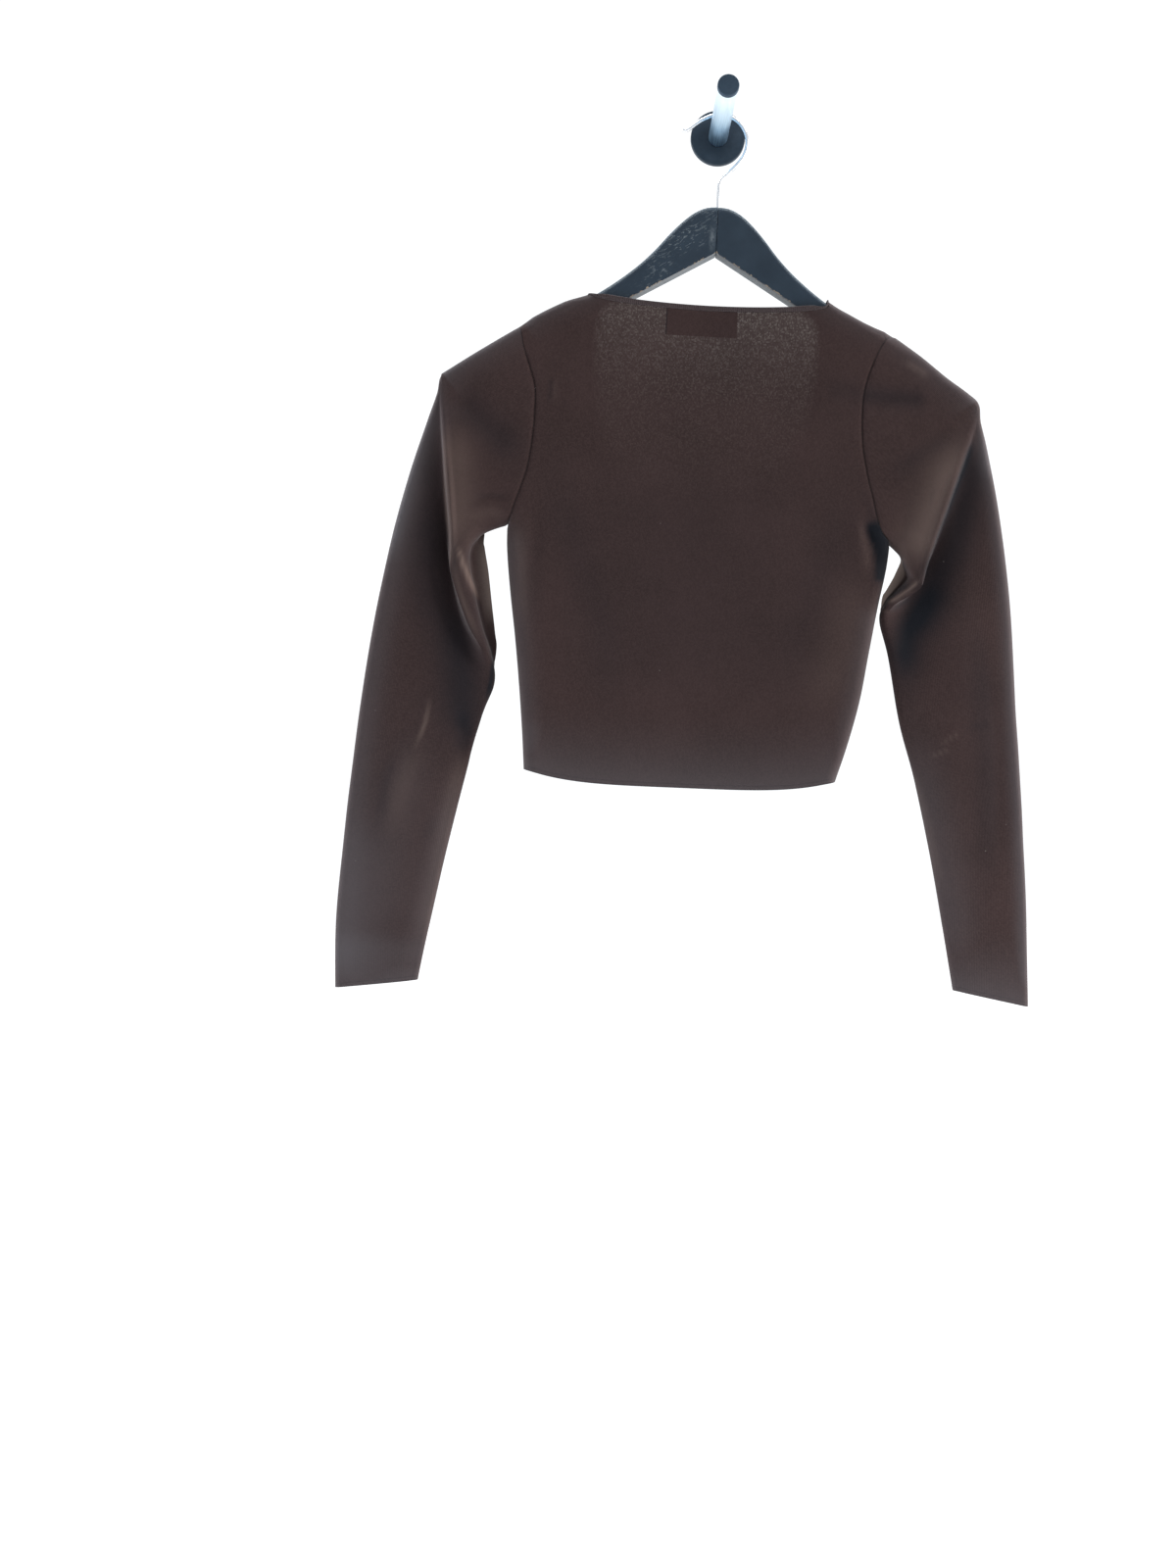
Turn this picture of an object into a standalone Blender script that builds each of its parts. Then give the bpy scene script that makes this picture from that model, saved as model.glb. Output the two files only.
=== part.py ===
"""Cropped long-sleeve knit sweater on a wooden clothes hanger, hung from a wall peg.

World frame: metres, +Z up, +Y into the wall. The origin is the centre of the peg's
wall plate, on its back face. The sweater is seen from its back: the back panel is the
near one (-Y) and the front panel, with its deep scoop neck, is the far one (+Y).

The hanger swings a little clockwise on its peg, so it and the sweater are laid out in
an upright hanger frame in millimetres, where "out" is the distance to the side and
"drop" the distance below the peg's axis, and are swung as the meshes are made.
"""

import math
from collections import namedtuple

import bmesh
import bpy
from mathutils import Vector

MM = 0.001

# Wall peg
PLATE_RADIUS = 23.0
PLATE_THICK = 4.0
TUBE_RADIUS = 8.1
TUBE_END = 94.0             # distance from the wall to the open end of the tube
CAP_RADIUS = 8.6
CAP_RIM = 4.0
SEAT_GAP = 0.3              # clearance left where two solid pieces touch

# Hanger
SWING = math.radians(3.1)   # how far the hanger hangs out of level
HANG_Y = -24.5              # depth of the hook's plane in front of the wall
SWEEP = math.tan(math.radians(3.0))  # each arm comes forward towards its end
WIRE_RADIUS = 1.5
HOOK_RADIUS = 23.2
ARM_HALF = 6.0              # half the thickness of the wood
ARM_LENGTH = 218.5
ARM_CENTRE = 1.8            # the hanger's own middle, to the side of the peg's axis
ARM_APEX_BOTTOM = 107.2
ARM_BOTTOM_SLOPE = 0.61
ARM_CHAMFER = 0.8
STEM_HOLE_RADIUS = 1.9
STEM_HOLE_END = 94.0
ArmTop = namedtuple("ArmTop", "out drop")
ARM_TOP = [
    ArmTop(0, 67.5), ArmTop(10, 69.0), ArmTop(20, 74.2), ArmTop(30, 83.0), ArmTop(40, 94.0),
    ArmTop(50, 106.3), ArmTop(60, 117.0), ArmTop(70, 126.2), ArmTop(84, 137.5),
    ArmTop(100, 148.6), ArmTop(115, 156.4), ArmTop(130, 164.3), ArmTop(150, 175.3),
    ArmTop(190, 202.0), ArmTop(220, 223.5),
]

# Cloth
CLOTH = 1.6                 # thickness of the knit
SEAM_GAP = 0.34             # space between two pieces at a seam
OVER_ARM = 7.5              # radius of the cloth's middle surface over the hanger's arm
OFF_WOOD = 0.9              # least space between the cloth's inner face and the wood
SWEEP_BLEND = 40.0          # the cloth bridges the middle, where the two arms meet
BRIDGE_BACK = 0.4
FREE_SLEEVE_OUT = 220.0     # past the arm's end a sleeve no longer follows its sweep

# Neck
NECK_LEFT = -102.3          # where the back and front neck edges meet over the left arm
NECK_RIGHT = 96.3
BACK_NECK_DEPTH = 8.6
SCOOP_DEPTH = 158.7
BAND_HEIGHT = 4.7
BAND_THICK = 2.0
BAND_SEAM_EXTRA = 0.15
BAND_STEP = 4.0
BAND_OFF_WOOD = 0.5

# Shoulder tips and underarms
TIP_LEFT = 157.0
TIP_RIGHT = 151.0
UNDERARM_LEFT = (157.8, 341.0)
UNDERARM_RIGHT = (157.2, 340.0)
UNDERARM_ROUND = 9.0
SHORTEST_ROUNDING = 3.0
RIGHT_SEAM_ANGLE = 60.0     # the right shoulder seam lies forward of the hanger's top

Shoulder = namedtuple("Shoulder", "out left right")
SHOULDERS = [               # the line of the cloth along the top of each arm
    Shoulder(88, 139.2, 139.0), Shoulder(96, 144.8, 144.6), Shoulder(102.3, 148.4, 147.8),
    Shoulder(116, 153.4, 154.8), Shoulder(122, 156.0, 157.6), Shoulder(135, 163.2, 163.3),
    Shoulder(145.6, 169.8, 167.4), Shoulder(151, 174.4, 169.8), Shoulder(157, 180.0, 173.4),
]
Armhole = namedtuple("Armhole", "share left right")
ARMHOLE = [                 # how far the seam curves in from the straight tip to underarm
    Armhole(0.00, 0.0, 0.0), Armhole(0.03, 2.0, 7.0), Armhole(0.10, 5.0, 13.5),
    Armhole(0.20, 11.0, 20.0), Armhole(0.30, 16.0, 24.0), Armhole(0.42, 17.0, 25.0),
    Armhole(0.55, 16.5, 24.0), Armhole(0.70, 14.0, 19.5), Armhole(0.80, 10.0, 15.0),
    Armhole(0.90, 5.0, 11.0), Armhole(0.96, 2.5, 7.0), Armhole(1.00, 0.0, 0.0),
]

Side = namedtuple("Side", "share left right")
SIDES = [                   # half widths of the body, from the underarm down to the hem
    Side(0.00, 157.8, 157.2), Side(0.10, 156.9, 155.6), Side(0.26, 152.8, 150.3),
    Side(0.46, 146.4, 144.8), Side(0.66, 140.9, 139.4), Side(0.85, 136.3, 131.0),
    Side(1.00, 133.4, 122.7),
]
HEM_LEFT = 542.2
HEM_RIGHT = 538.8
HEM_SAG = 10.4
HEM_CURVE = 4

Depth = namedtuple("Depth", "drop near far")
BODY_DEPTH = [              # how far each panel stands off the middle plane
    Depth(140, 7.3, 7.3), Depth(190, 7.6, 7.5), Depth(260, 9.2, 8.0), Depth(340, 10.5, 8.6),
    Depth(450, 12.2, 9.4), Depth(555, 13.2, 10.0),
]

SleeveRow = namedtuple(
    "SleeveRow",
    "out drop fold near_out near_drop far_out far_drop bulge mid beside lip far far_lip",
)
# out, drop: the sleeve's outer fold, and fold the radius there
# near_*, far_*: where the camera's layer and the wall's layer turn in under the arm
# bulge: how far the edge between them rounds out, or creases in where it is negative
# mid, beside, lip, far, far_lip: how far each stands off the middle plane
LEFT_SLEEVE = [
    SleeveRow(179.0, 194.2, 7.3, 170.0, 331.0, 170.0, 331.0, 14.5, 9.5, 9.5, 9.0, 8.5, 8.0),
    SleeveRow(200.0, 209.8, 7.3, 185.0, 341.0, 176.0, 341.0, 10, 10.5, 10.8, 10, 9.0, 6.5),
    SleeveRow(213.5, 219.0, 7.3, 196.0, 358.0, 177.0, 352.0, 4, 12.0, 12.5, 12, 9.5, 5.5),
    SleeveRow(219.0, 224.6, 7.3, 200.0, 369.0, 177.0, 359.0, 2, 13.5, 14.5, 14, 10, 5.0),
    SleeveRow(221.0, 238.0, 7.3, 201.7, 375.0, 175.0, 367.0, 1, 6.5, 5.5, 14, 10, 5.0),
    SleeveRow(228.0, 262.0, 7.0, 201.0, 385.0, 172.0, 381.0, 0, 4.5, 2.0, 14, 10, 5.0),
    SleeveRow(238.7, 300.0, 6.5, 194.5, 404.0, 168.5, 403.0, 0, 5.5, 1.5, 13, 10, 5.0),
    SleeveRow(250.2, 350.0, 6.0, 184.0, 428.0, 164.5, 429.0, 0, 7.0, 2.0, 12, 10, 5.0),
    SleeveRow(258.5, 399.0, 6.0, 171.5, 449.0, 162.5, 450.0, 1, 8.0, 3.5, 9.5, 9.0, 5.0),
    SleeveRow(264.5, 442.0, 6.0, 168.0, 471.0, 167.5, 471.0, 5.5, 8.5, 5.5, 5.0, 8.0, 4.5),
    SleeveRow(270.5, 500.0, 5.5, 177.5, 505.0, 177.5, 505.0, 5, 8.0, 7.0, 4.0, 7.5, 4.0),
    SleeveRow(276.9, 590.0, 5.5, 194.4, 586.0, 194.4, 586.0, 5, 7.5, 7.0, 4.0, 7.0, 4.0),
    SleeveRow(280.6, 675.0, 5.0, 208.5, 668.0, 208.5, 668.0, 4.5, 6.3, 6.0, 4.0, 6.0, 4.0),
    SleeveRow(278.4, 729.7, 5.0, 216.0, 720.5, 216.0, 720.5, 4, 5.8, 5.6, 4.0, 5.6, 4.0),
]
RIGHT_SLEEVE = [
    SleeveRow(173.0, 184.6, 7.3, 163.5, 331.0, 163.5, 331.0, 14, 9.5, 9.5, 9.0, 8.5, 8.0),
    SleeveRow(196.0, 202.2, 7.3, 170.0, 343.0, 168.0, 341.0, 8.5, 10.5, 10.8, 10, 9.0, 6.5),
    SleeveRow(214.0, 214.4, 7.3, 177.0, 361.0, 168.5, 350.0, 4, 12.0, 12.5, 12, 9.5, 5.5),
    SleeveRow(223.0, 222.6, 7.3, 181.0, 371.5, 168.5, 355.5, 2, 13.5, 14.0, 14, 10, 5.0),
    SleeveRow(225.3, 237.0, 7.3, 182.6, 375.5, 166.5, 361.0, 1, 6.5, 5.0, 14, 10, 5.0),
    SleeveRow(231.8, 259.0, 7.0, 178.5, 380.0, 163.0, 368.5, 0, 4.0, 1.5, 13, 10, 5.0),
    SleeveRow(242.5, 301.0, 6.5, 170.0, 385.5, 159.0, 377.0, 0, 4.0, 1.0, 12, 10, 5.0),
    SleeveRow(253.8, 359.0, 6.0, 160.5, 393.0, 155.0, 387.0, 0, 5.5, 1.5, 9.5, 9.5, 5.0),
    SleeveRow(259.8, 399.0, 6.0, 157.0, 404.0, 156.5, 403.0, 3, 7.5, 2.0, 5.0, 9.0, 4.5),
    SleeveRow(265.5, 455.0, 6.0, 166.5, 434.0, 166.5, 434.0, 4.5, 8.5, 4.0, 4.5, 8.0, 4.0),
    SleeveRow(271.8, 515.0, 5.5, 179.0, 488.0, 179.0, 488.0, 5, 8.0, 7.0, 4.0, 7.5, 4.0),
    SleeveRow(278.6, 572.0, 5.5, 194.2, 538.0, 194.2, 538.0, 5, 7.5, 7.0, 4.0, 7.0, 4.0),
    SleeveRow(284.8, 633.0, 5.0, 212.0, 608.0, 212.0, 608.0, 4.5, 6.3, 6.0, 4.0, 6.0, 4.0),
    SleeveRow(290.6, 715.0, 5.0, 233.6, 705.5, 233.6, 705.5, 4, 5.8, 5.6, 4.0, 5.6, 4.0),
]
SHARE_MID = 0.42            # where "mid" and "beside" lie, from the outer fold to the lip
SHARE_BESIDE = 0.82

# Label sewn inside the back neck
LABEL_LEFT = -36.5
LABEL_RIGHT = 24.0
LABEL_TOP = 162.0
LABEL_HEIGHT = 19.0
LABEL_THICK = 0.7

# Mesh resolution
ARC_STEPS = 3               # segments in each quarter turn of a rounded edge
FACE_STEPS = 7              # segments down the near or far side of a sleeve ring
SIDE_STEPS = 8
RING_STEPS = 2              # rings made for each row of a sleeve's table
COLUMN_STEPS = 4            # columns across half a panel, inside its rounded edge
BACK_NECK_ANGLES = [0, 18, 36, 54, 70, 82, 90]
SCOOP_ANGLES = [70, 52, 34, 17, 0]
WIRE_SIDES_RESOLUTION = 2

Finish = namedtuple("Finish", "colour roughness metallic")
FINISHES = {
    "knit": Finish((0.046, 0.030, 0.029), 0.85, 0.0),
    "knit_band": Finish((0.038, 0.025, 0.025), 0.85, 0.0),
    "label": Finish((0.020, 0.017, 0.016), 0.7, 0.0),
    "black_wood": Finish((0.020, 0.026, 0.033), 0.45, 0.0),
    "steel_wire": Finish((0.62, 0.64, 0.66), 0.2, 1.0),
    "brushed_metal": Finish((0.60, 0.63, 0.67), 0.35, 1.0),
    "black_plastic": Finish((0.018, 0.024, 0.030), 0.4, 0.0),
}


def clear_scene():
    for obj in list(bpy.data.objects):
        bpy.data.objects.remove(obj, do_unlink=True)


def make_materials():
    made = {}
    for name, finish in FINISHES.items():
        material = bpy.data.materials.new(name)
        material.use_nodes = True
        shader = material.node_tree.nodes["Principled BSDF"]
        shader.inputs["Base Color"].default_value = (*finish.colour, 1.0)
        shader.inputs["Roughness"].default_value = finish.roughness
        shader.inputs["Metallic"].default_value = finish.metallic
        made[name] = material
    return made


def add_object(name, mesh, material, smooth_below=math.radians(50)):
    mesh.materials.append(material)
    mesh.shade_smooth()
    mesh.set_sharp_from_angle(angle=smooth_below)
    obj = bpy.data.objects.new(name, mesh)
    bpy.context.scene.collection.objects.link(obj)
    return obj


def swung(point):
    """A point of the upright hanger frame, in millimetres, as it hangs, in metres."""
    x, y, z = point
    return Vector((
        x * math.cos(SWING) + z * math.sin(SWING),
        y,
        z * math.cos(SWING) - x * math.sin(SWING),
    )) * MM


def between(start, end, share):
    return start + (end - start) * share


def spline_step(before, start, end, after, share):
    """Catmull-Rom between start and end."""
    square = share * share
    cube = square * share
    return (
        start * 2.0
        + (end - before) * share
        + (before * 2.0 - start * 5.0 + end * 4.0 - after) * square
        + (start * 3.0 - before - end * 3.0 + after) * cube
    ) * 0.5


def column(rows, key, field, value):
    """The field of a table at a value of its key column, along a soft curve."""
    keys = [getattr(row, key) for row in rows]
    values = [getattr(row, field) for row in rows]
    if value <= keys[0]:
        return values[0]
    if value >= keys[-1]:
        return values[-1]
    index = max(i for i, at in enumerate(keys[:-1]) if at <= value)
    share = (value - keys[index]) / (keys[index + 1] - keys[index])
    rises = []
    for i in (index, index + 1):
        low, high = max(i - 1, 0), min(i + 1, len(keys) - 1)
        rises.append((values[high] - values[low]) / (keys[high] - keys[low]))
    span = keys[index + 1] - keys[index]
    square, cube = share ** 2, share ** 3
    return (
        (2 * cube - 3 * square + 1) * values[index]
        + (cube - 2 * square + share) * span * rises[0]
        + (3 * square - 2 * cube) * values[index + 1]
        + (cube - square) * span * rises[1]
    )


def quarter(share):
    """Rise of a quarter circle: 0 at its edge, 1 from its radius on."""
    return math.sqrt(max(0.0, 1.0 - (1.0 - min(max(share, 0.0), 1.0)) ** 2))


# ---- hanger and peg ------------------------------------------------------------------

def lathe(name, profile, material, steps=40):
    """A solid turned about the peg's axis. The profile is (radius, distance from wall)."""
    shape = bmesh.new()
    rings = []
    for radius, away in profile:
        if radius == 0:
            rings.append([shape.verts.new((0, -away * MM, 0))])
            continue
        turn = [2 * math.pi * i / steps for i in range(steps)]
        rings.append([
            shape.verts.new((radius * math.cos(a) * MM, -away * MM, radius * math.sin(a) * MM))
            for a in turn
        ])
    for first, second in zip(rings, rings[1:] + rings[:1]):
        for i in range(steps):
            j = (i + 1) % steps
            corners = [first[i % len(first)], first[j % len(first)],
                       second[j % len(second)], second[i % len(second)]]
            face = list(dict.fromkeys(corners))
            if len(face) > 2:
                shape.faces.new(face)
    bmesh.ops.recalc_face_normals(shape, faces=shape.faces)
    mesh = bpy.data.meshes.new(name)
    shape.to_mesh(mesh)
    shape.free()
    return add_object(name, mesh, material, math.radians(35))


def make_peg(materials):
    soft = 0.8
    lathe("wall_plate", [
        (0, 0), (PLATE_RADIUS, 0), (PLATE_RADIUS, PLATE_THICK - soft),
        (PLATE_RADIUS - soft, PLATE_THICK), (0, PLATE_THICK),
    ], materials["black_plastic"])
    wall = 1.5
    base = PLATE_THICK + SEAT_GAP
    lathe("peg_tube", [
        (TUBE_RADIUS, base), (TUBE_RADIUS, TUBE_END), (TUBE_RADIUS - wall, TUBE_END),
        (TUBE_RADIUS - wall, base),
    ], materials["brushed_metal"])
    seat = TUBE_END + SEAT_GAP
    plug = TUBE_RADIUS - wall - SEAT_GAP
    lathe("peg_cap", [
        (0, seat - 10), (plug, seat - 10), (plug, seat), (CAP_RADIUS, seat),
        (CAP_RADIUS, seat + CAP_RIM - soft), (CAP_RADIUS - soft, seat + CAP_RIM),
        (0, seat + CAP_RIM),
    ], materials["black_plastic"])


def hook_route():
    """The hook's wire from its stem in the wood, round over the peg, to its curled tip."""
    top = TUBE_RADIUS + SEAT_GAP + WIRE_RADIUS
    centre = top - HOOK_RADIUS
    stem = ARM_CENTRE
    points = [(stem, -drop) for drop in (90.0, 80.0, 70.0, 60.0, 53.0)]
    points += [(stem + 0.1, -48.5), (stem + 1.2, -44.8), (stem + 4.2, -41.3), (10.0, -37.0),
               (14.6, -32.4)]
    for angle in range(-36, 121, 12):
        turn = math.radians(angle)
        points.append((HOOK_RADIUS * math.cos(turn), centre + HOOK_RADIUS * math.sin(turn)))
    points += [(-17.2, 3.6), (-22.3, -0.6), (-26.0, -3.6), (-28.4, -4.9), (-30.2, -4.6),
               (-31.0, -3.2)]
    return points


def make_hook(materials):
    points = [swung((x, HANG_Y, z)) for x, z in hook_route()]
    curve = bpy.data.curves.new("hanger_hook", "CURVE")
    curve.dimensions = "3D"
    curve.bevel_depth = WIRE_RADIUS * MM
    curve.bevel_resolution = WIRE_SIDES_RESOLUTION
    curve.use_fill_caps = True
    line = curve.splines.new("POLY")
    line.points.add(len(points) - 1)
    for target, point in zip(line.points, points):
        target.co = (*point, 1.0)
    curve.materials.append(materials["steel_wire"])
    hook = bpy.data.objects.new("hanger_hook", curve)
    bpy.context.scene.collection.objects.link(hook)


def arm_top(x):
    """Drop of the wood's upper edge at a place across the hanger."""
    return column(ARM_TOP, "out", "drop", abs(x - ARM_CENTRE))


def arm_bottom(out):
    return ARM_APEX_BOTTOM + ARM_BOTTOM_SLOPE * out


def arm_section(side, out, inset):
    """The D-shaped section of an arm: a round upper edge and a flat, worn lower face."""
    x = ARM_CENTRE + side * out
    y = HANG_Y - SWEEP * out
    half = ARM_HALF - inset
    top = arm_top(x) + inset
    bottom = arm_bottom(out) - inset
    ring = []
    for step in range(9):
        turn = math.pi * step / 8
        ring.append((x, y - half * math.cos(turn), -(top + half - half * math.sin(turn))))
    ring += [
        (x, y + half, -(bottom - ARM_CHAMFER)),
        (x, y + half - ARM_CHAMFER, -bottom),
        (x, y - half + ARM_CHAMFER, -bottom),
        (x, y - half, -(bottom - ARM_CHAMFER)),
    ]
    return ring


def make_arm(name, side, material, hole):
    """One half of the wooden hanger, from the joint in the middle to its round end."""
    joint = SEAT_GAP / 2
    stations = [(joint, 0.0)] + [(float(out), 0.0) for out in range(5, 216, 10)]
    stations += [(ARM_LENGTH - 1.6, 0.6), (ARM_LENGTH - 0.4, 1.8), (ARM_LENGTH, 3.2)]
    shape = bmesh.new()
    rings = []
    for out, inset in stations:
        rings.append([shape.verts.new(swung(p)) for p in arm_section(side, out, inset)])
    count = len(rings[0])
    for first, second in zip(rings, rings[1:]):
        for i in range(count):
            j = (i + 1) % count
            shape.faces.new((first[i], first[j], second[j], second[i]))
    shape.faces.new(rings[0])
    shape.faces.new(rings[-1])
    bmesh.ops.recalc_face_normals(shape, faces=shape.faces)
    mesh = bpy.data.meshes.new(name)
    shape.to_mesh(mesh)
    shape.free()
    arm = add_object(name, mesh, material, math.radians(35))
    drill = arm.modifiers.new("Stem hole", "BOOLEAN")
    drill.operation = "DIFFERENCE"
    drill.object = hole


def make_stem_hole():
    """Cutter for the hole that the hook's stem is screwed into."""
    start = ARM_TOP[0].drop - 10
    bpy.ops.mesh.primitive_cylinder_add(
        vertices=16, radius=STEM_HOLE_RADIUS * MM, depth=(STEM_HOLE_END - start) * MM)
    cutter = bpy.context.object
    cutter.name = "stem_hole_cutter"
    cutter.location = swung((ARM_CENTRE, HANG_Y, -(start + STEM_HOLE_END) / 2))
    cutter.rotation_euler = (0, SWING, 0)
    cutter.hide_render = True
    cutter.display_type = "WIRE"
    return cutter


def make_hanger(materials):
    hole = make_stem_hole()
    make_arm("hanger_arm_left", -1, materials["black_wood"], hole)
    make_arm("hanger_arm_right", 1, materials["black_wood"], hole)
    make_hook(materials)


# ---- seams of the sweater ------------------------------------------------------------

SeamPoint = namedtuple("SeamPoint", "at normal")


def middle(x):
    """Depth of the sweater's middle plane, which follows the sweep of the two arms."""
    out = min(abs(x), FREE_SLEEVE_OUT)
    return HANG_Y + BRIDGE_BACK - SWEEP * math.hypot(out, SWEEP_BLEND)


def near_depth(x, drop):
    return middle(x) - column(BODY_DEPTH, "drop", "near", drop)


def far_depth(x, drop):
    return middle(x) + column(BODY_DEPTH, "drop", "far", drop)


def shoulder_drop(x):
    """Drop of the cloth's middle surface along the top of the hanger."""
    return column(SHOULDERS, "out", "right" if x > 0 else "left", abs(x))


def shoulder_slope(x):
    step = 0.5
    return (shoulder_drop(x + step) - shoulder_drop(x - step)) / (2 * step)


def off_arm(at, clearance):
    """How far to move a point of the cloth so that it clears the hanger's arm."""
    out = abs(at.x - ARM_CENTRE)
    radius = ARM_HALF + clearance
    core = Vector((at.x, HANG_Y - SWEEP * out, -(arm_top(at.x) + ARM_HALF)))
    away = at - core
    if out > ARM_LENGTH + clearance or -at.z > arm_bottom(out) + clearance:
        return Vector()
    if away.z < 0:
        away.z = 0
    lack = radius - away.length
    return away.normalized() * lack if lack > 0 else Vector()


def shoulder_x(side, drop, low, high):
    """Where the shoulder line reaches a drop, between two distances out."""
    for _ in range(40):
        guess = (low + high) / 2
        if shoulder_drop(side * guess) < drop:
            low = guess
        else:
            high = guess
    return side * (low + high) / 2


def over_arm(x, angle):
    """A point of the cloth that lies over the hanger, angle degrees forward of its top."""
    turn = math.radians(angle)
    slope = math.atan(shoulder_slope(x))
    at = Vector((
        x,
        middle(x) - OVER_ARM * math.sin(turn),
        -shoulder_drop(x) - OVER_ARM * (1 - math.cos(turn)),
    ))
    up = Vector((math.sin(slope), 0, math.cos(slope)))
    return SeamPoint(at, up * math.cos(turn) - Vector((0, math.sin(turn), 0)))


def armhole_tip(side):
    return TIP_RIGHT if side > 0 else TIP_LEFT


def armhole_x(side, drop):
    """Across position of the armhole seam at a drop, on either layer."""
    top = shoulder_drop(side * armhole_tip(side))
    under_out, under_drop = UNDERARM_RIGHT if side > 0 else UNDERARM_LEFT
    share = (drop - top) / (under_drop - top)
    field = "right" if side > 0 else "left"
    straight = between(armhole_tip(side), under_out, share)
    return side * (straight - column(ARMHOLE, "share", field, share))


def armhole_point(side, layer, drop):
    """A point of the armhole at a drop. The layer is -1 for near and +1 for far."""
    top = shoulder_drop(side * armhole_tip(side))
    bottom = (UNDERARM_RIGHT if side > 0 else UNDERARM_LEFT)[1]
    x = armhole_x(side, drop)
    field = "near" if layer < 0 else "far"
    full = column(BODY_DEPTH, "drop", field, drop)
    rise = min(quarter((drop - top) / OVER_ARM), quarter((bottom - drop) / UNDERARM_ROUND))
    return Vector((x, middle(x) + layer * full * rise, -drop))


def scoop_drops(side):
    """Drops of the far layer's rows beside the scoop, which give the scoop its curve."""
    corner = shoulder_drop(NECK_RIGHT if side > 0 else NECK_LEFT)
    return [corner + SCOOP_DEPTH * math.cos(math.radians(a)) for a in SCOOP_ANGLES]


def armhole_loop(side):
    """The whole armhole seam: over the near layer, under the arm and up the far layer."""
    top = shoulder_drop(side * armhole_tip(side))
    bottom = (UNDERARM_RIGHT if side > 0 else UNDERARM_LEFT)[1]
    turns = [math.radians(90 * i / ARC_STEPS) for i in range(ARC_STEPS + 1)]
    upper = [top + OVER_ARM * (1 - math.cos(t)) for t in turns]
    lower = [bottom - UNDERARM_ROUND * (1 - math.cos(t)) for t in reversed(turns)]
    near = [between(upper[-1], lower[0], i / FACE_STEPS) for i in range(1, FACE_STEPS)]
    scoop = scoop_drops(side)
    below = between(scoop[-1], lower[0], 0.5)
    far = scoop + [below]
    points = [armhole_point(side, -1, d) for d in upper + near + lower]
    points += [armhole_point(side, 1, d) for d in reversed(upper + far + lower)][1:-1]
    loop = []
    count = len(points)
    under = ARC_STEPS * 2 + FACE_STEPS
    for i, at in enumerate(points):
        along = points[(i + 1) % count] - points[i - 1]
        over = quarter((-at.z - top) / OVER_ARM)
        below = quarter((bottom + at.z) / UNDERARM_ROUND)
        if i == 0:
            rise = -abs(shoulder_slope(at.x))
        elif i == under:
            rise = 1.0
        else:
            rise = math.sqrt(1 - below ** 2) - abs(shoulder_slope(at.x)) * math.sqrt(1 - over ** 2)
        across = Vector((1, 0, side * rise))
        loop.append(SeamPoint(at, along.cross(across).normalized()))
    return loop


def side_seam(side):
    """The side seam from the hem up to the underarm, without the underarm itself."""
    under = UNDERARM_RIGHT if side > 0 else UNDERARM_LEFT
    hem = HEM_RIGHT if side > 0 else HEM_LEFT
    field = "right" if side > 0 else "left"
    seam = []
    for step in range(SIDE_STEPS):
        share = 1 - step / SIDE_STEPS
        x = side * column(SIDES, "share", field, share)
        at = Vector((x, middle(x), -between(under[1], hem, share)))
        seam.append(SeamPoint(at, Vector((side, 0, 0))))
    return seam


# ---- cloth ---------------------------------------------------------------------------

class Sheet:
    """A piece of cloth by its middle surface: points, faces, and normals at its seams."""

    def __init__(self):
        self.points = []
        self.faces = []
        self.fixed = {}
        self.index = {}

    def add(self, at, normal=None):
        key = tuple(round(c, 4) for c in at)
        if key not in self.index:
            self.index[key] = len(self.points)
            self.points.append(at.copy())
        if normal is not None:
            self.fixed[self.index[key]] = normal.normalized()
        return self.index[key]

    def add_face(self, corners):
        corners = list(dict.fromkeys(corners))
        if len(corners) > 2:
            self.faces.append(corners)

    def add_grid(self, rows):
        """Faces between rows of the same number of point indices."""
        for lower, upper in zip(rows, rows[1:]):
            for i in range(len(lower) - 1):
                self.add_face([lower[i], lower[i + 1], upper[i + 1], upper[i]])

    def normals(self):
        total = [Vector() for _ in self.points]
        for face in self.faces:
            corners = [self.points[i] for i in face]
            normal = Vector()
            for i, corner in enumerate(corners):
                normal += corner.cross(corners[(i + 1) % len(corners)])
            for i in face:
                total[i] += normal
        return [self.fixed.get(i, n.normalized()) for i, n in enumerate(total)]

    def rim(self):
        """Directed edges that only one face uses."""
        used = set()
        for face in self.faces:
            for i, corner in enumerate(face):
                used.add((corner, face[(i + 1) % len(face)]))
        return [edge for edge in used if (edge[1], edge[0]) not in used]

    def draw_in(self, normals, gap):
        """Points with the sewn edges moved into the sheet by half a seam's gap."""
        inward = {}
        for start, end in self.rim():
            if start in self.fixed and end in self.fixed:
                edge = self.points[end] - self.points[start]
                for i in (start, end):
                    inward.setdefault(i, []).append(normals[i].cross(edge).normalized())
        moved = [p.copy() for p in self.points]
        for i, ways in inward.items():
            way = sum(ways, Vector())
            corner = way.length_squared / len(ways)
            moved[i] += way * (gap / 2) / max(corner, 0.6)
        return moved


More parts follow.
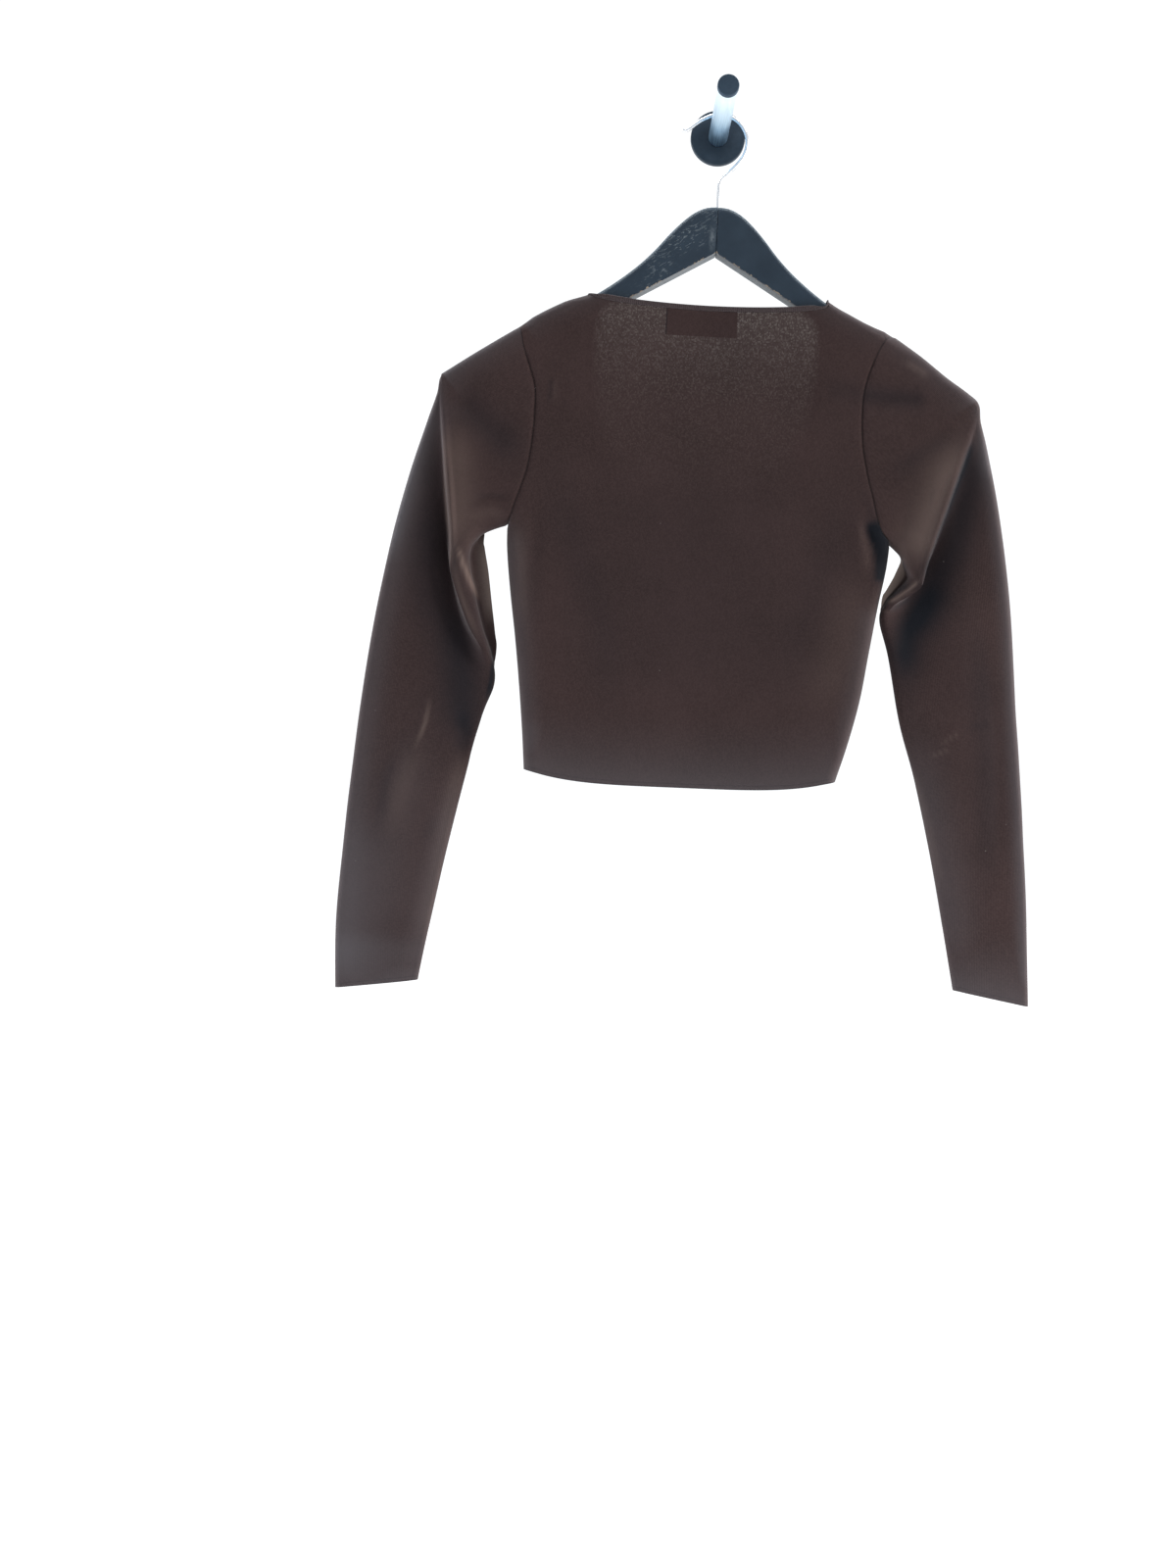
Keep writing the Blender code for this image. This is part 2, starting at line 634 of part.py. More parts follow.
def make_cloth(name, sheet, material, thick=CLOTH):
    """The sheet as a closed wall of cloth, half of it on each side of its middle."""
    normals = sheet.normals()
    points = sheet.draw_in(normals, SEAM_GAP)
    points = [p + off_arm(p - n * thick / 2, OFF_WOOD) for p, n in zip(points, normals)]
    shape = bmesh.new()
    front = [shape.verts.new(swung(p + n * thick / 2)) for p, n in zip(points, normals)]
    back = [shape.verts.new(swung(p - n * thick / 2)) for p, n in zip(points, normals)]
    for face in sheet.faces:
        shape.faces.new([front[i] for i in face])
        shape.faces.new([back[i] for i in reversed(face)])
    for start, end in sheet.rim():
        shape.faces.new((front[end], front[start], back[start], back[end]))
    mesh = bpy.data.meshes.new(name)
    shape.to_mesh(mesh)
    shape.free()
    return add_object(name, mesh, material)


def half_row(seam, inner, depth, rounding):
    """Points from a seam in to the middle of a panel or to its neck edge."""
    width = inner.x - seam.x
    full = depth(seam.x, -seam.z) - middle(seam.x)
    begun = min((seam.y - middle(seam.x)) / full, 1.0)
    done = rounding * (1 - math.sqrt(1 - begun ** 2))
    reach = min(max(rounding - done, SHORTEST_ROUNDING), abs(width) * 0.5)
    spots = [reach * (1 - math.cos(math.radians(90 * i / ARC_STEPS)))
             for i in range(1, ARC_STEPS + 1)]
    rest = abs(width) - reach
    spots += [reach + rest * i / COLUMN_STEPS for i in range(1, COLUMN_STEPS + 1)]
    row = []
    for spot in spots:
        x = seam.x + math.copysign(spot, width)
        z = between(seam.z, inner.z, spot / abs(width) if width else 0)
        off = (depth(x, -z) - middle(x)) * quarter((done + spot) / rounding)
        row.append(Vector((x, middle(x) + off, z)))
    return row


def hem_drop(left, right, x):
    share = (x - left.x) / (right.x - left.x)
    return HEM_SAG * (1 - abs(2 * share - 1) ** HEM_CURVE)


def round_length(seam_point):
    """How far in from a seam a panel is rounded: more where it comes over the arm."""
    lowest = shoulder_drop(TIP_LEFT) + OVER_ARM
    if -seam_point.at.z > lowest:
        return UNDERARM_ROUND
    return OVER_ARM / abs(shoulder_slope(seam_point.at.x))


def make_panel_sheet(left_seam, right_seam, depth, layer, neck):
    """A body panel from its two seams. The neck gives each upper row's opening."""
    sheet = Sheet()
    left_rows, right_rows = [], []
    count = len(left_seam)
    first_neck = count - len(neck)
    for i, (left, right) in enumerate(zip(left_seam, right_seam)):
        centre = between(left.at.x, right.at.x, 0.5)
        if i < first_neck:
            half = 0.0
        else:
            centre, half = neck[i - first_neck]
        halves = []
        for seam, way in ((left, -1), (right, 1)):
            share = (centre + way * half - left.at.x) / (right.at.x - left.at.x)
            inner = Vector((centre + way * half, 0, between(left.at.z, right.at.z, share)))
            halves.append(half_row(seam.at, inner, depth, round_length(seam)))
        low = max(0.0, 1 - i / SIDE_STEPS) ** 2
        for points in halves:
            for p in points:
                p.z -= low * hem_drop(left.at, right.at, p.x)
        left_rows.append(
            [sheet.add(left.at, left.normal)] + [sheet.add(p) for p in halves[0]])
        right_rows.append(
            [sheet.add(right.at, right.normal)] + [sheet.add(p) for p in halves[1]])
    for rows, way in ((left_rows, 1), (right_rows, -1)):
        ordered = [row[::way] for row in rows]
        sheet.add_grid(ordered)
    if layer > 0:
        sheet.faces = [face[::-1] for face in sheet.faces]
    edge = [row[-1] for row in left_rows[first_neck:]][::-1]
    edge += [row[-1] for row in right_rows[first_neck:]][1:]
    return sheet, edge


def shoulder_seam(side, angle):
    """The shoulder seam from the armhole up to the neck, without the armhole's own point."""
    neck = NECK_RIGHT if side > 0 else NECK_LEFT
    tip = armhole_tip(side)
    corner = shoulder_drop(neck)
    drops = [corner + BACK_NECK_DEPTH * math.cos(math.radians(a)) for a in BACK_NECK_ANGLES]
    drops.insert(0, between(shoulder_drop(side * tip), drops[0], 0.5))
    return [over_arm(shoulder_x(side, d, abs(neck), tip), angle) for d in drops]


def with_midpoints(seam, extra):
    """The seam with its longest straight spans halved, which leaves its shape the same."""
    seam = list(seam)
    for _ in range(extra):
        spans = [(b.at - a.at).length for a, b in zip(seam, seam[1:])]
        i = spans.index(max(spans))
        first, second = seam[i], seam[i + 1]
        half = SeamPoint((first.at + second.at) / 2, first.normal + second.normal)
        seam.insert(i + 1, half)
    return seam


def back_panel_sheet(loops):
    """The near panel. Its right shoulder seam lies forward of the hanger's top."""
    left_loop, right_loop = loops
    under = ARC_STEPS * 2 + FACE_STEPS
    forward = round(RIGHT_SEAM_ANGLE / 90 * ARC_STEPS)
    left = side_seam(-1) + left_loop[under::-1] + shoulder_seam(-1, 0)
    shoulder = [right_loop[forward]] + shoulder_seam(1, RIGHT_SEAM_ANGLE)
    right = side_seam(1) + right_loop[under:forward:-1] + with_midpoints(shoulder, forward)
    centre = (left[-1].at.x + right[-1].at.x) / 2
    half = (right[-1].at.x - left[-1].at.x) / 2
    neck = [(centre, half * math.sin(math.radians(a))) for a in BACK_NECK_ANGLES]
    return make_panel_sheet(left, right, near_depth, -1, neck)


def front_panel_sheet(loops):
    """The far panel with its scoop, and its strip over the right arm to the seam."""
    under = ARC_STEPS * 2 + FACE_STEPS
    left, right = (
        side_seam(side) + loop[under:] + [loop[0]] + shoulder_seam(side, 0)
        for side, loop in zip((-1, 1), loops)
    )
    centre = (NECK_LEFT + NECK_RIGHT) / 2
    half = (NECK_RIGHT - NECK_LEFT) / 2
    level = (shoulder_drop(NECK_LEFT) + shoulder_drop(NECK_RIGHT)) / 2
    neck = []
    for a, b in zip(left, right):
        rise = (-(a.at.z + b.at.z) / 2 - level) / SCOOP_DEPTH
        if rise <= 1.0001:
            neck.append((centre, half * math.sqrt(max(0.0, 1 - min(rise, 1.0) ** 2))))
    neck[-1] = (centre, half)
    sheet, edge = make_panel_sheet(left, right, far_depth, 1, neck)
    forward = round(RIGHT_SEAM_ANGLE / 90 * ARC_STEPS)
    strip = []
    for p in right[-len(BACK_NECK_ANGLES) - 2:]:
        row = [sheet.add(p.at)]
        sheet.fixed.pop(row[0], None)
        for i in range(1, forward + 1):
            lap = over_arm(p.at.x, 90 * i / ARC_STEPS)
            row.append(sheet.add(lap.at, lap.normal if i == forward else None))
        strip.append(row)
    loop = loops[1]
    for i in range(forward + 1):
        sheet.points[strip[0][i]] = loop[i].at.copy()
        sheet.fixed[strip[0][i]] = loop[i].normal
    sheet.add_grid(strip[::-1])
    edge += strip[-1][1:]
    return sheet, edge


def make_sleeve_ring(side, row):
    """One ring of a sleeve: outer fold, near layer, the edge under the arm, far layer."""
    def place(xz, off):
        return Vector((side * xz.x, middle(xz.x) - off, -xz.y))

    fold = Vector((row.out, row.drop))
    near = Vector((row.near_out, row.near_drop))
    far = Vector((row.far_out, row.far_drop))
    inward_near = (near - fold).normalized()
    inward_far = (far - fold).normalized()
    turns = [math.radians(90 * i / ARC_STEPS) for i in range(ARC_STEPS + 1)]
    near_keys = [Stop(0, row.fold), Stop(SHARE_MID, row.mid), Stop(SHARE_BESIDE, row.beside),
                 Stop(1, row.lip)]
    far_keys = [Stop(0, row.fold), Stop(0.5, row.far), Stop(1, row.far_lip)]
    ring = []
    for turn in turns[:-1]:
        at = fold + inward_near * row.fold * (1 - math.cos(turn))
        ring.append(place(at, row.fold * math.sin(turn)))
    start = fold + inward_near * row.fold
    for i in range(FACE_STEPS + 1):
        share = i / FACE_STEPS
        ring.append(place(start.lerp(near, share), column(near_keys, "share", "off", share)))
    middle_edge = (near + far) / 2 + (inward_near + inward_far).normalized() * row.bulge
    middle_off = (row.lip - row.far_lip) / 2
    for turn in turns[1:]:
        at = near + (middle_edge - near) * math.sin(turn)
        ring.append(place(at, between(row.lip, middle_off, 1 - math.cos(turn))))
    for turn in turns[-2::-1]:
        at = far + (middle_edge - far) * math.sin(turn)
        ring.append(place(at, between(-row.far_lip, middle_off, 1 - math.cos(turn))))
    start = fold + inward_far * row.fold
    for i in range(1, FACE_STEPS + 1):
        share = 1 - i / FACE_STEPS
        ring.append(place(start.lerp(far, share), -column(far_keys, "share", "off", share)))
    for turn in turns[-2:0:-1]:
        at = fold + inward_far * row.fold * (1 - math.cos(turn))
        ring.append(place(at, -row.fold * math.sin(turn)))
    return ring


Stop = namedtuple("Stop", "share off")


def sleeve_sheet(side, table, loop):
    """A sleeve as rings from the armhole seam to the cuff."""
    rings = [[p.at for p in loop]] + [make_sleeve_ring(side, row) for row in table]
    sheet = Sheet()
    rows = []
    last = len(rings) - 1
    for i in range(last):
        for step in range(RING_STEPS):
            share = step / RING_STEPS
            four = [rings[max(i - 1, 0)], rings[i], rings[i + 1], rings[min(i + 2, last)]]
            ring = [spline_step(*places, share) for places in zip(*four)]
            if i == 0 and step == 0:
                rows.append([sheet.add(p.at, p.normal) for p in loop])
            else:
                rows.append([sheet.add(p) for p in ring])
    rows.append([sheet.add(p) for p in rings[last]])
    sheet.add_grid([row + row[:1] for row in rows])
    if side < 0:
        sheet.faces = [face[::-1] for face in sheet.faces]
    return sheet


def finer_over_arm(stations):
    """The band's stations, with one more between each two that lie over an arm."""
    finer = []
    for (at, normal), (next_at, next_normal) in zip(stations, stations[1:] + stations[:1]):
        finer.append((at, normal))
        over = max(-at.z, -next_at.z) < shoulder_drop(NECK_LEFT) + OVER_ARM
        if over and (next_at - at).length > BAND_STEP:
            finer.append(((at + next_at) / 2, (normal + next_normal).normalized()))
    return finer


def make_neckband(back, front, material):
    """The narrow band round the neck, set on the edges of the two panels."""
    stations = []
    for (sheet, edge), ends in ((back, slice(None, -1)), (front, slice(None, 0, -1))):
        normals = sheet.normals()
        stations += [(sheet.points[i], normals[i]) for i in edge[ends]]
    stations = finer_over_arm(stations)
    count = len(stations)
    aways = []
    for i, (at, normal) in enumerate(stations):
        along = stations[(i + 1) % count][0] - stations[i - 1][0]
        aways.append(normal.cross(along).normalized())
    shape = bmesh.new()
    rings = []
    for i, (at, normal) in enumerate(stations):
        away = (aways[i - 2] + aways[i - 1] * 2 + aways[i] * 3
                + aways[(i + 1) % count] * 2 + aways[(i + 2) % count]).normalized()
        side = normal * BAND_THICK / 2
        low = at + away * (SEAM_GAP + BAND_SEAM_EXTRA)
        high = low + away * BAND_HEIGHT
        low += off_arm(low - side, OFF_WOOD + BAND_OFF_WOOD)
        high += off_arm(high - side, OFF_WOOD + BAND_OFF_WOOD)
        rings.append([shape.verts.new(swung(p))
                      for p in (low + side, high + side, high - side, low - side)])
    for i, ring in enumerate(rings):
        following = rings[(i + 1) % count]
        for j in range(4):
            k = (j + 1) % 4
            shape.faces.new((ring[j], ring[k], following[k], following[j]))
    bmesh.ops.recalc_face_normals(shape, faces=shape.faces)
    mesh = bpy.data.meshes.new("neckband")
    shape.to_mesh(mesh)
    shape.free()
    add_object("neckband", mesh, material)


def make_label(material):
    """A bare woven label that hangs inside the back panel, below the neckband."""
    sheet = Sheet()
    stand_off = CLOTH / 2 + SEAT_GAP + LABEL_THICK / 2
    rows = []
    across, down = 6, 3
    for j in range(down + 1):
        row = []
        drop = LABEL_TOP + LABEL_HEIGHT * (1 - j / down)
        for i in range(across + 1):
            x = between(LABEL_LEFT, LABEL_RIGHT, i / across)
            row.append(sheet.add(Vector((x, near_depth(x, drop) + stand_off, -drop))))
        rows.append(row)
    sheet.add_grid(rows)
    make_cloth("label", sheet, material, LABEL_THICK)


def make_sweater(materials):
    loops = (armhole_loop(-1), armhole_loop(1))
    back = back_panel_sheet(loops)
    front = front_panel_sheet(loops)
    make_cloth("back_panel", back[0], materials["knit"])
    make_cloth("front_panel", front[0], materials["knit"])
    make_cloth("sleeve_left", sleeve_sheet(-1, LEFT_SLEEVE, loops[0]), materials["knit"])
    make_cloth("sleeve_right", sleeve_sheet(1, RIGHT_SLEEVE, loops[1]), materials["knit"])
    make_neckband(back, front, materials["knit_band"])
    make_label(materials["label"])


def main():
    clear_scene()
    materials = make_materials()
    make_peg(materials)
    make_hanger(materials)
    make_sweater(materials)


main()
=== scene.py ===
# Cropped fine-knit sweater, hung on a wooden clothes hanger from a wall peg.
# Everything is laid out upright in millimetres (out = to the side, drop = below the peg's
# axis) and turned by the hanger's swing as the meshes are made.

from collections import namedtuple
from math import atan, ceil, copysign, cos, exp, hypot, pi, radians, sin, sqrt, tan

import bmesh
import bpy
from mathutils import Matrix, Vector, kdtree, noise


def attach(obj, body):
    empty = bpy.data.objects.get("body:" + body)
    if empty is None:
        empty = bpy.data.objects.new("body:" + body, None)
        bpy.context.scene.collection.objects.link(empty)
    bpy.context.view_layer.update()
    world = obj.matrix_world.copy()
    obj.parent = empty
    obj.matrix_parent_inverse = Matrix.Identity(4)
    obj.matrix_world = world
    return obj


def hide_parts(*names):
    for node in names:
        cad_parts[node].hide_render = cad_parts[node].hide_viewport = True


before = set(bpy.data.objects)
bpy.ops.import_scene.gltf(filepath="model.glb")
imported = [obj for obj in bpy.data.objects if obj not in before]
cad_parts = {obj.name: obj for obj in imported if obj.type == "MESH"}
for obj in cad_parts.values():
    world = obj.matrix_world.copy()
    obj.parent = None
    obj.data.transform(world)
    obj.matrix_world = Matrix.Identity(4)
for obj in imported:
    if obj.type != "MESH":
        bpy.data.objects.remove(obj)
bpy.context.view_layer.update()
mm = 0.001

# the hanger as it hangs, then small helpers
hang = {
    "swing": radians(3.1),          # clockwise, as the hanger sits on its peg
    "hookDepth": -24.5,
    "sweep": tan(radians(3)),
    "armCentre": 1.8,
    "armHalf": 6,
    "armLength": 218.5,
    "armEdge": (107.2, 0.61),       # drop of its lower edge at the joint, and its slope
}


def swung(point):
    x, y, z = point
    turn = hang["swing"]
    return Vector(((x * cos(turn) + z * sin(turn)) * mm, y * mm,
                   (z * cos(turn) - x * sin(turn)) * mm))


def between(start, end, share):
    return start + (end - start) * share


def clamp(value, low=0, high=1):
    return min(max(value, low), high)


def soften(share):
    share = clamp(share)
    return share * share * (3 - 2 * share)


def quarter(share):
    return sqrt(max(0, 1 - (1 - clamp(share)) ** 2))


def turns(steps, whole=90):
    return [radians(whole * i / steps) for i in range(steps + 1)]


def splineStep(before, start, end, after, share):
    return (
        start * 2
        + (end - before) * share
        + (before * 2 - start * 5 + end * 4 - after) * share ** 2
        + (start * 3 - before - end * 3 + after) * share ** 3
    ) * 0.5


def table(fields, *rows):
    kind = namedtuple("Row", fields)
    return [kind(*row) for row in rows]


def column(rows, field, value):
    # a field of a table at a value of its first column, along a soft curve
    keys = [row[0] for row in rows]
    levels = [getattr(row, field) for row in rows]
    if not keys[0] < value < keys[-1]:
        return levels[0 if value <= keys[0] else -1]
    i = max(i for i, at in enumerate(keys[:-1]) if at <= value)
    span = keys[i + 1] - keys[i]
    share = (value - keys[i]) / span
    rises = []
    for j in (i, i + 1):
        low, high = max(j - 1, 0), min(j + 1, len(keys) - 1)
        rises.append((levels[high] - levels[low]) / (keys[high] - keys[low]))
    square, cube = share ** 2, share ** 3
    return ((2 * cube - 3 * square + 1) * levels[i] + (cube - 2 * square + share) * span * rises[0]
            + (3 * square - 2 * cube) * levels[i + 1] + (cube - square) * span * rises[1])


def addObject(name, data):
    obj = bpy.data.objects.new(name, data)
    bpy.context.scene.collection.objects.link(obj)
    return obj


def addMesh(name, shape, material, smoothBelow=50):
    mesh = bpy.data.meshes.new(name)
    shape.to_mesh(mesh)
    shape.free()
    mesh.materials.append(material)
    mesh.shade_smooth()
    mesh.set_sharp_from_angle(angle=radians(smoothBelow))
    return addObject(name, mesh)


def loft(name, rings, material, closed=False, smoothBelow=40):
    # a tube through rings of the same number of points, with flat ends where it is open;
    # its UV map runs along the tube and round it, in metres
    shape = bmesh.new()
    layer = shape.loops.layers.uv.new("cloth")
    made = [[shape.verts.new(p) for p in ring] for ring in rings]
    count = len(made[0])
    around = [0]
    for i in range(count):
        around.append(around[-1] + (rings[0][(i + 1) % count] - rings[0][i]).length)
    along = 0
    for first, second in zip(made, made[1:] + made[:1] if closed else made[1:]):
        ahead = along + (second[0].co - first[0].co).length
        for i in range(count):
            j = (i + 1) % count
            face = shape.faces.new((first[i], first[j], second[j], second[i]))
            spots = ((along, around[i]), (along, around[i + 1]),
                     (ahead, around[i + 1]), (ahead, around[i]))
            for loop, spot in zip(face.loops, spots):
                loop[layer].uv = spot
        along = ahead
    if not closed:
        shape.faces.new(made[0])
        shape.faces.new(made[-1])
    bmesh.ops.recalc_face_normals(shape, faces=shape.faces)
    return addMesh(name, shape, material, smoothBelow)


# node helpers and shader groups

def feed(socket, value):
    if isinstance(value, Value):
        socket.id_data.links.new(value.socket, socket)
    else:
        socket.default_value = value


def feedAll(node, feeds):
    for name, value in feeds.items():
        feed(node.inputs[name], value)


def add(tree, kind, feeds=None, out=0, **settings):
    # a new node with its inputs set or linked, as the value of one output or of several
    node = tree.nodes.new(kind if "Node" in kind else "ShaderNode" + kind)
    for name, value in settings.items():
        setattr(node, name, value)
    feedAll(node, feeds or {})
    if isinstance(out, tuple):
        return [Value(node.outputs[name]) for name in out]
    return Value(node.outputs[out])


class Value:
    # an output socket; sums and comparisons with it add math nodes to its tree

    def __init__(self, socket):
        self.socket = socket
        self.tree = socket.id_data

    def math(self, operation, *others):
        return add(self.tree, "Math", dict(enumerate((self, *others))), operation=operation)

    def __rsub__(self, other):
        return add(self.tree, "Math", {0: other, 1: self}, operation="SUBTRACT")

    def __abs__(self):
        return self.math("ABSOLUTE")

    def larger(self, other):
        return self.math("MAXIMUM", other)

    def limited(self):
        self.socket.node.use_clamp = True
        return self

    def xyz(self):
        return add(self.tree, "SeparateXYZ", {0: self}, (0, 1, 2))

    def mix(self, first, second):
        # a colour from the first to the second by this share
        return add(self.tree, "Mix", {0: self, 6: first, 7: second}, 2, data_type="RGBA")

    def ramp(self, *stops):
        made = add(self.tree, "ValToRGB", {0: self})
        elements = made.socket.node.color_ramp.elements
        while len(elements) < len(stops):
            elements.new(0.5)
        for element, (at, level) in zip(elements, stops):
            element.position = at
            element.color = grey(level)
        return made


for sign, operation in (("add", "ADD"), ("sub", "SUBTRACT"), ("mul", "MULTIPLY"),
                        ("truediv", "DIVIDE"), ("pow", "POWER"), ("lt", "LESS_THAN"),
                        ("gt", "GREATER_THAN")):
    setattr(Value, f"__{sign}__", lambda a, b, operation=operation: a.math(operation, b))


def grey(level):
    return (level, level, level, 1)


def newGroup(kind, name, inputs, outputs):
    # a node group of a kind, the values that it is given, and its output node
    group = bpy.data.node_groups.new(name, kind + "NodeTree")
    for way, rows in (("INPUT", inputs), ("OUTPUT", outputs)):
        for label, sort, *value in rows:
            socket = group.interface.new_socket(name=label, in_out=way,
                                                socket_type="NodeSocket" + sort)
            if value:
                socket.default_value = value[0]
    given = add(group, "NodeGroupInput", out=tuple(row[0] for row in inputs))
    return group, given, group.nodes.new("NodeGroupOutput")


def speckle(place, scale, detail, roughness=0.5):
    return add(place.tree, "TexNoise", {"Vector": place, "Scale": scale, "Detail": detail,
                                        "Roughness": roughness}, "Fac")


def mapped(place, feeds, **settings):
    return add(place.tree, "Mapping", {"Vector": place, **feeds}, **settings)


def uvMap(tree, name):
    return add(tree, "UVMap", uv_map=name)


def objectPlace(tree):
    return add(tree, "TexCoord", out="Object")


def fineKnitGroup():
    # stitches in columns and courses, from a UV map in metres
    group, (uv, ribWidth, courseHeight), result = newGroup(
        "Shader", "fineKnit",
        (("UV", "Vector"), ("Rib width", "Float", 0.0014), ("Course height", "Float", 0.0011)),
        (("Height", "Float"), ("Groove", "Float"), ("Stitch", "Float")))
    x, y, _ = uv.xyz()
    across = x / ribWidth
    middleOff = abs(across.math("FRACT") - 0.5)
    rib = (middleOff * pi).math("COSINE")
    slant = y / courseHeight + middleOff * 1.1
    course = abs((slant * pi).math("SINE"))
    cell = add(group, "CombineXYZ", {0: across.math("FLOOR"), 1: slant.math("FLOOR")})
    feedAll(result, {
        "Height": rib * 0.65 + course * 0.35,
        "Groove": ((middleOff - 0.34) * 6.2).limited(),
        "Stitch": add(group, "TexWhiteNoise", {"Vector": cell}, "Value", noise_dimensions="2D"),
    })
    return group


def woolCloudGroup():
    # uneven dye and pressing over the cloth, with a few pale specks of lint
    group, (place, cloudSize, lint), result = newGroup(
        "Shader", "dyeClouds",
        (("Coordinate", "Vector"), ("Cloud size", "Float", 18), ("Lint", "Float", 0.5)),
        (("Cloud", "Float"), ("Lint", "Float"), ("Grain", "Float")))
    off, colour = add(group, "TexVoronoi", {"Vector": place, "Scale": 60},
                      ("Distance", "Color"))
    rare = add(group, "SeparateColor", {0: colour})
    feedAll(result, {
        "Cloud": speckle(place, cloudSize, 2),
        "Lint": (off < 0.035) * (rare > 0.93) * lint,
        "Grain": speckle(place, 900, 2, 0.7),
    })
    return group


fineKnit = fineKnitGroup()
dyeClouds = woolCloudGroup()


def knitted(tree, ribWidth, courseHeight=0.0011):
    return add(tree, "Group", {"UV": uvMap(tree, "cloth"), "Rib width": ribWidth,
                               "Course height": courseHeight},
               ("Height", "Groove", "Stitch"), node_tree=fineKnit)


def dyed(place):
    return add(place.tree, "Group", {"Coordinate": place}, ("Cloud", "Lint", "Grain"),
               node_tree=dyeClouds)


def newMaterial(name):
    material = bpy.data.materials.new(name)
    material.use_nodes = True
    return material, material.node_tree


def shade(material, feeds, height=None, strength=0.5, distance=0.0001):
    # feeds the material's shader, with a bump of the given height
    if height:
        feeds["Normal"] = add(material.node_tree, "Bump", {
            "Height": height, "Strength": strength, "Distance": distance})
    feedAll(material.node_tree.nodes["Principled BSDF"], feeds)
    return material


knitLook = {
    "colour": (0.0372, 0.0229, 0.0224, 1),
    # painted shade in the grooves between the ribs
    "groove": (0.028, 0.0168, 0.017, 1),
    "grooveShare": 0.75,
    "worn": (0.05, 0.0305, 0.03, 1),
    "stitch": (0.078, 0.05, 0.048, 1),      # the palest of the single stitches
    "stitchShare": 0.3,
    # painted shade along the seams; the hem's stitch row and its very edge are marked with it too
    "seam": (0.01, 0.0065, 0.0065, 1),
    "seamShadeWidth": 0.001,
    "hemRow": 0.0034,
    # painted shade in valleys, under folds and where the cloth hangs double
    "paintedShade": (0.0098, 0.0108, 0.0146, 1),
    # painted highlights on ridges and folded edges
    "paintedHighlight": (0.16, 0.114, 0.1, 1),
    "lint": (0.15, 0.13, 0.125, 1),
    "fuzzHighlight": (0.118, 0.098, 0.1, 1),         # stray fibres at an edge, painted as a highlight where the surface turns from view
    "fuzzHighlightShare": 0.65,
    "paintedLight": (0.107, 0.096, 0.103, 1),    # painted light near the hem, the cuffs and the outer edges
    "paintedBrimLightShare": 0.5,
    "paintedBrimLightWidth": 0.07,
    "through": (0.15, 0.121, 0.108, 1),     # light that comes through a single layer in a gap
}


def knitMaterial(name, ribWidth=0.0014, sheer=None):
    material, tree = newMaterial(name)
    place = objectPlace(tree)
    ribs, groove, stitches = knitted(tree, ribWidth)
    cloud, lint, grain = dyed(place)
    tint = cloud.ramp((0.3, 0), (0.75, 1)).mix(knitLook["colour"], knitLook["worn"])
    # painted shade in the grooves between the ribs
    tint = (groove * knitLook["grooveShare"]).mix(tint, knitLook["groove"])
    tint = (stitches * knitLook["stitchShare"]).mix(tint, knitLook["stitch"])
    # painted light through a single layer of cloth, where given
    if sheer:
        tint = sheer(place, stitches, tint)
    fromSeam, fromBrim, _ = uvMap(tree, "edges").xyz()
    # painted shade along the seams
    seam = (1 - fromSeam / knitLook["seamShadeWidth"]).limited()
    tint = (seam * 0.85).mix(tint, knitLook["seam"])
    row = abs(fromBrim - knitLook["hemRow"]) < 0.00045
    edge = (row * 0.45 + (fromBrim < 0.001) * 0.65).limited()
    tint = edge.mix(tint, knitLook["seam"])
    # painted shade and painted highlights, from the shell's shade map
    paintedShade, paintedHighlight, _ = uvMap(tree, "shade").xyz()
    tint = paintedHighlight.mix(paintedShade.mix(tint, knitLook["paintedShade"]), knitLook["paintedHighlight"])
    # painted light along the edges, near the hem and near the cuffs; the glow is light through a
    # single layer, painted as emission
    veil, glow, _ = uvMap(tree, "veil").xyz()
    paintedLight = (1 - fromBrim / knitLook["paintedBrimLightWidth"]).limited() ** 2
    paintedLight *= knitLook["paintedBrimLightShare"]
    tint = paintedLight.larger(veil).mix(tint, knitLook["paintedLight"])
    tint = lint.mix(tint, knitLook["lint"])
    # a painted highlight where the surface turns from view, kept off the painted shade and
    # highlights
    facing = add(tree, "LayerWeight", {"Blend": 0.5}, "Facing")
    plain = (1 - (paintedShade * 1.3 + paintedHighlight)).limited()
    fuzzHighlight = facing.ramp((0.22, 0), (0.62, 0.4), (1, 1)) * plain
    return shade(material, {
        "Base Color": (fuzzHighlight * knitLook["fuzzHighlightShare"]).mix(tint, knitLook["fuzzHighlight"]),
        "Roughness": 0.82,
        "Specular IOR Level": 0.08,
        "Sheen Weight": 0.12,
        "Sheen Roughness": 0.4,
        "Sheen Tint": (1, 0.93, 0.92, 1),
        "Emission Color": glow.mix((0, 0, 0, 1), knitLook["through"]),
        "Emission Strength": 1,
    }, ribs + grain * 0.5 - row * 0.8, 0.6, 0.00012)


sheerLook = {
    # where one layer of cloth lies over the pale background, light comes through it
    "colour": (0.166, 0.142, 0.133, 1),
    "centre": -0.0025,
    "halfWidth": 0.0945,
    "widest": 0.185,                # drop at which it is widest
    "above": 0.034,
    "below": 0.135,
    "label": (-0.0365, 0.0222, 0.1782),
}


def levelled(place):
    # the same place in the hanger's own upright frame
    return mapped(place, {"Rotation": (0, -hang["swing"], 0)})


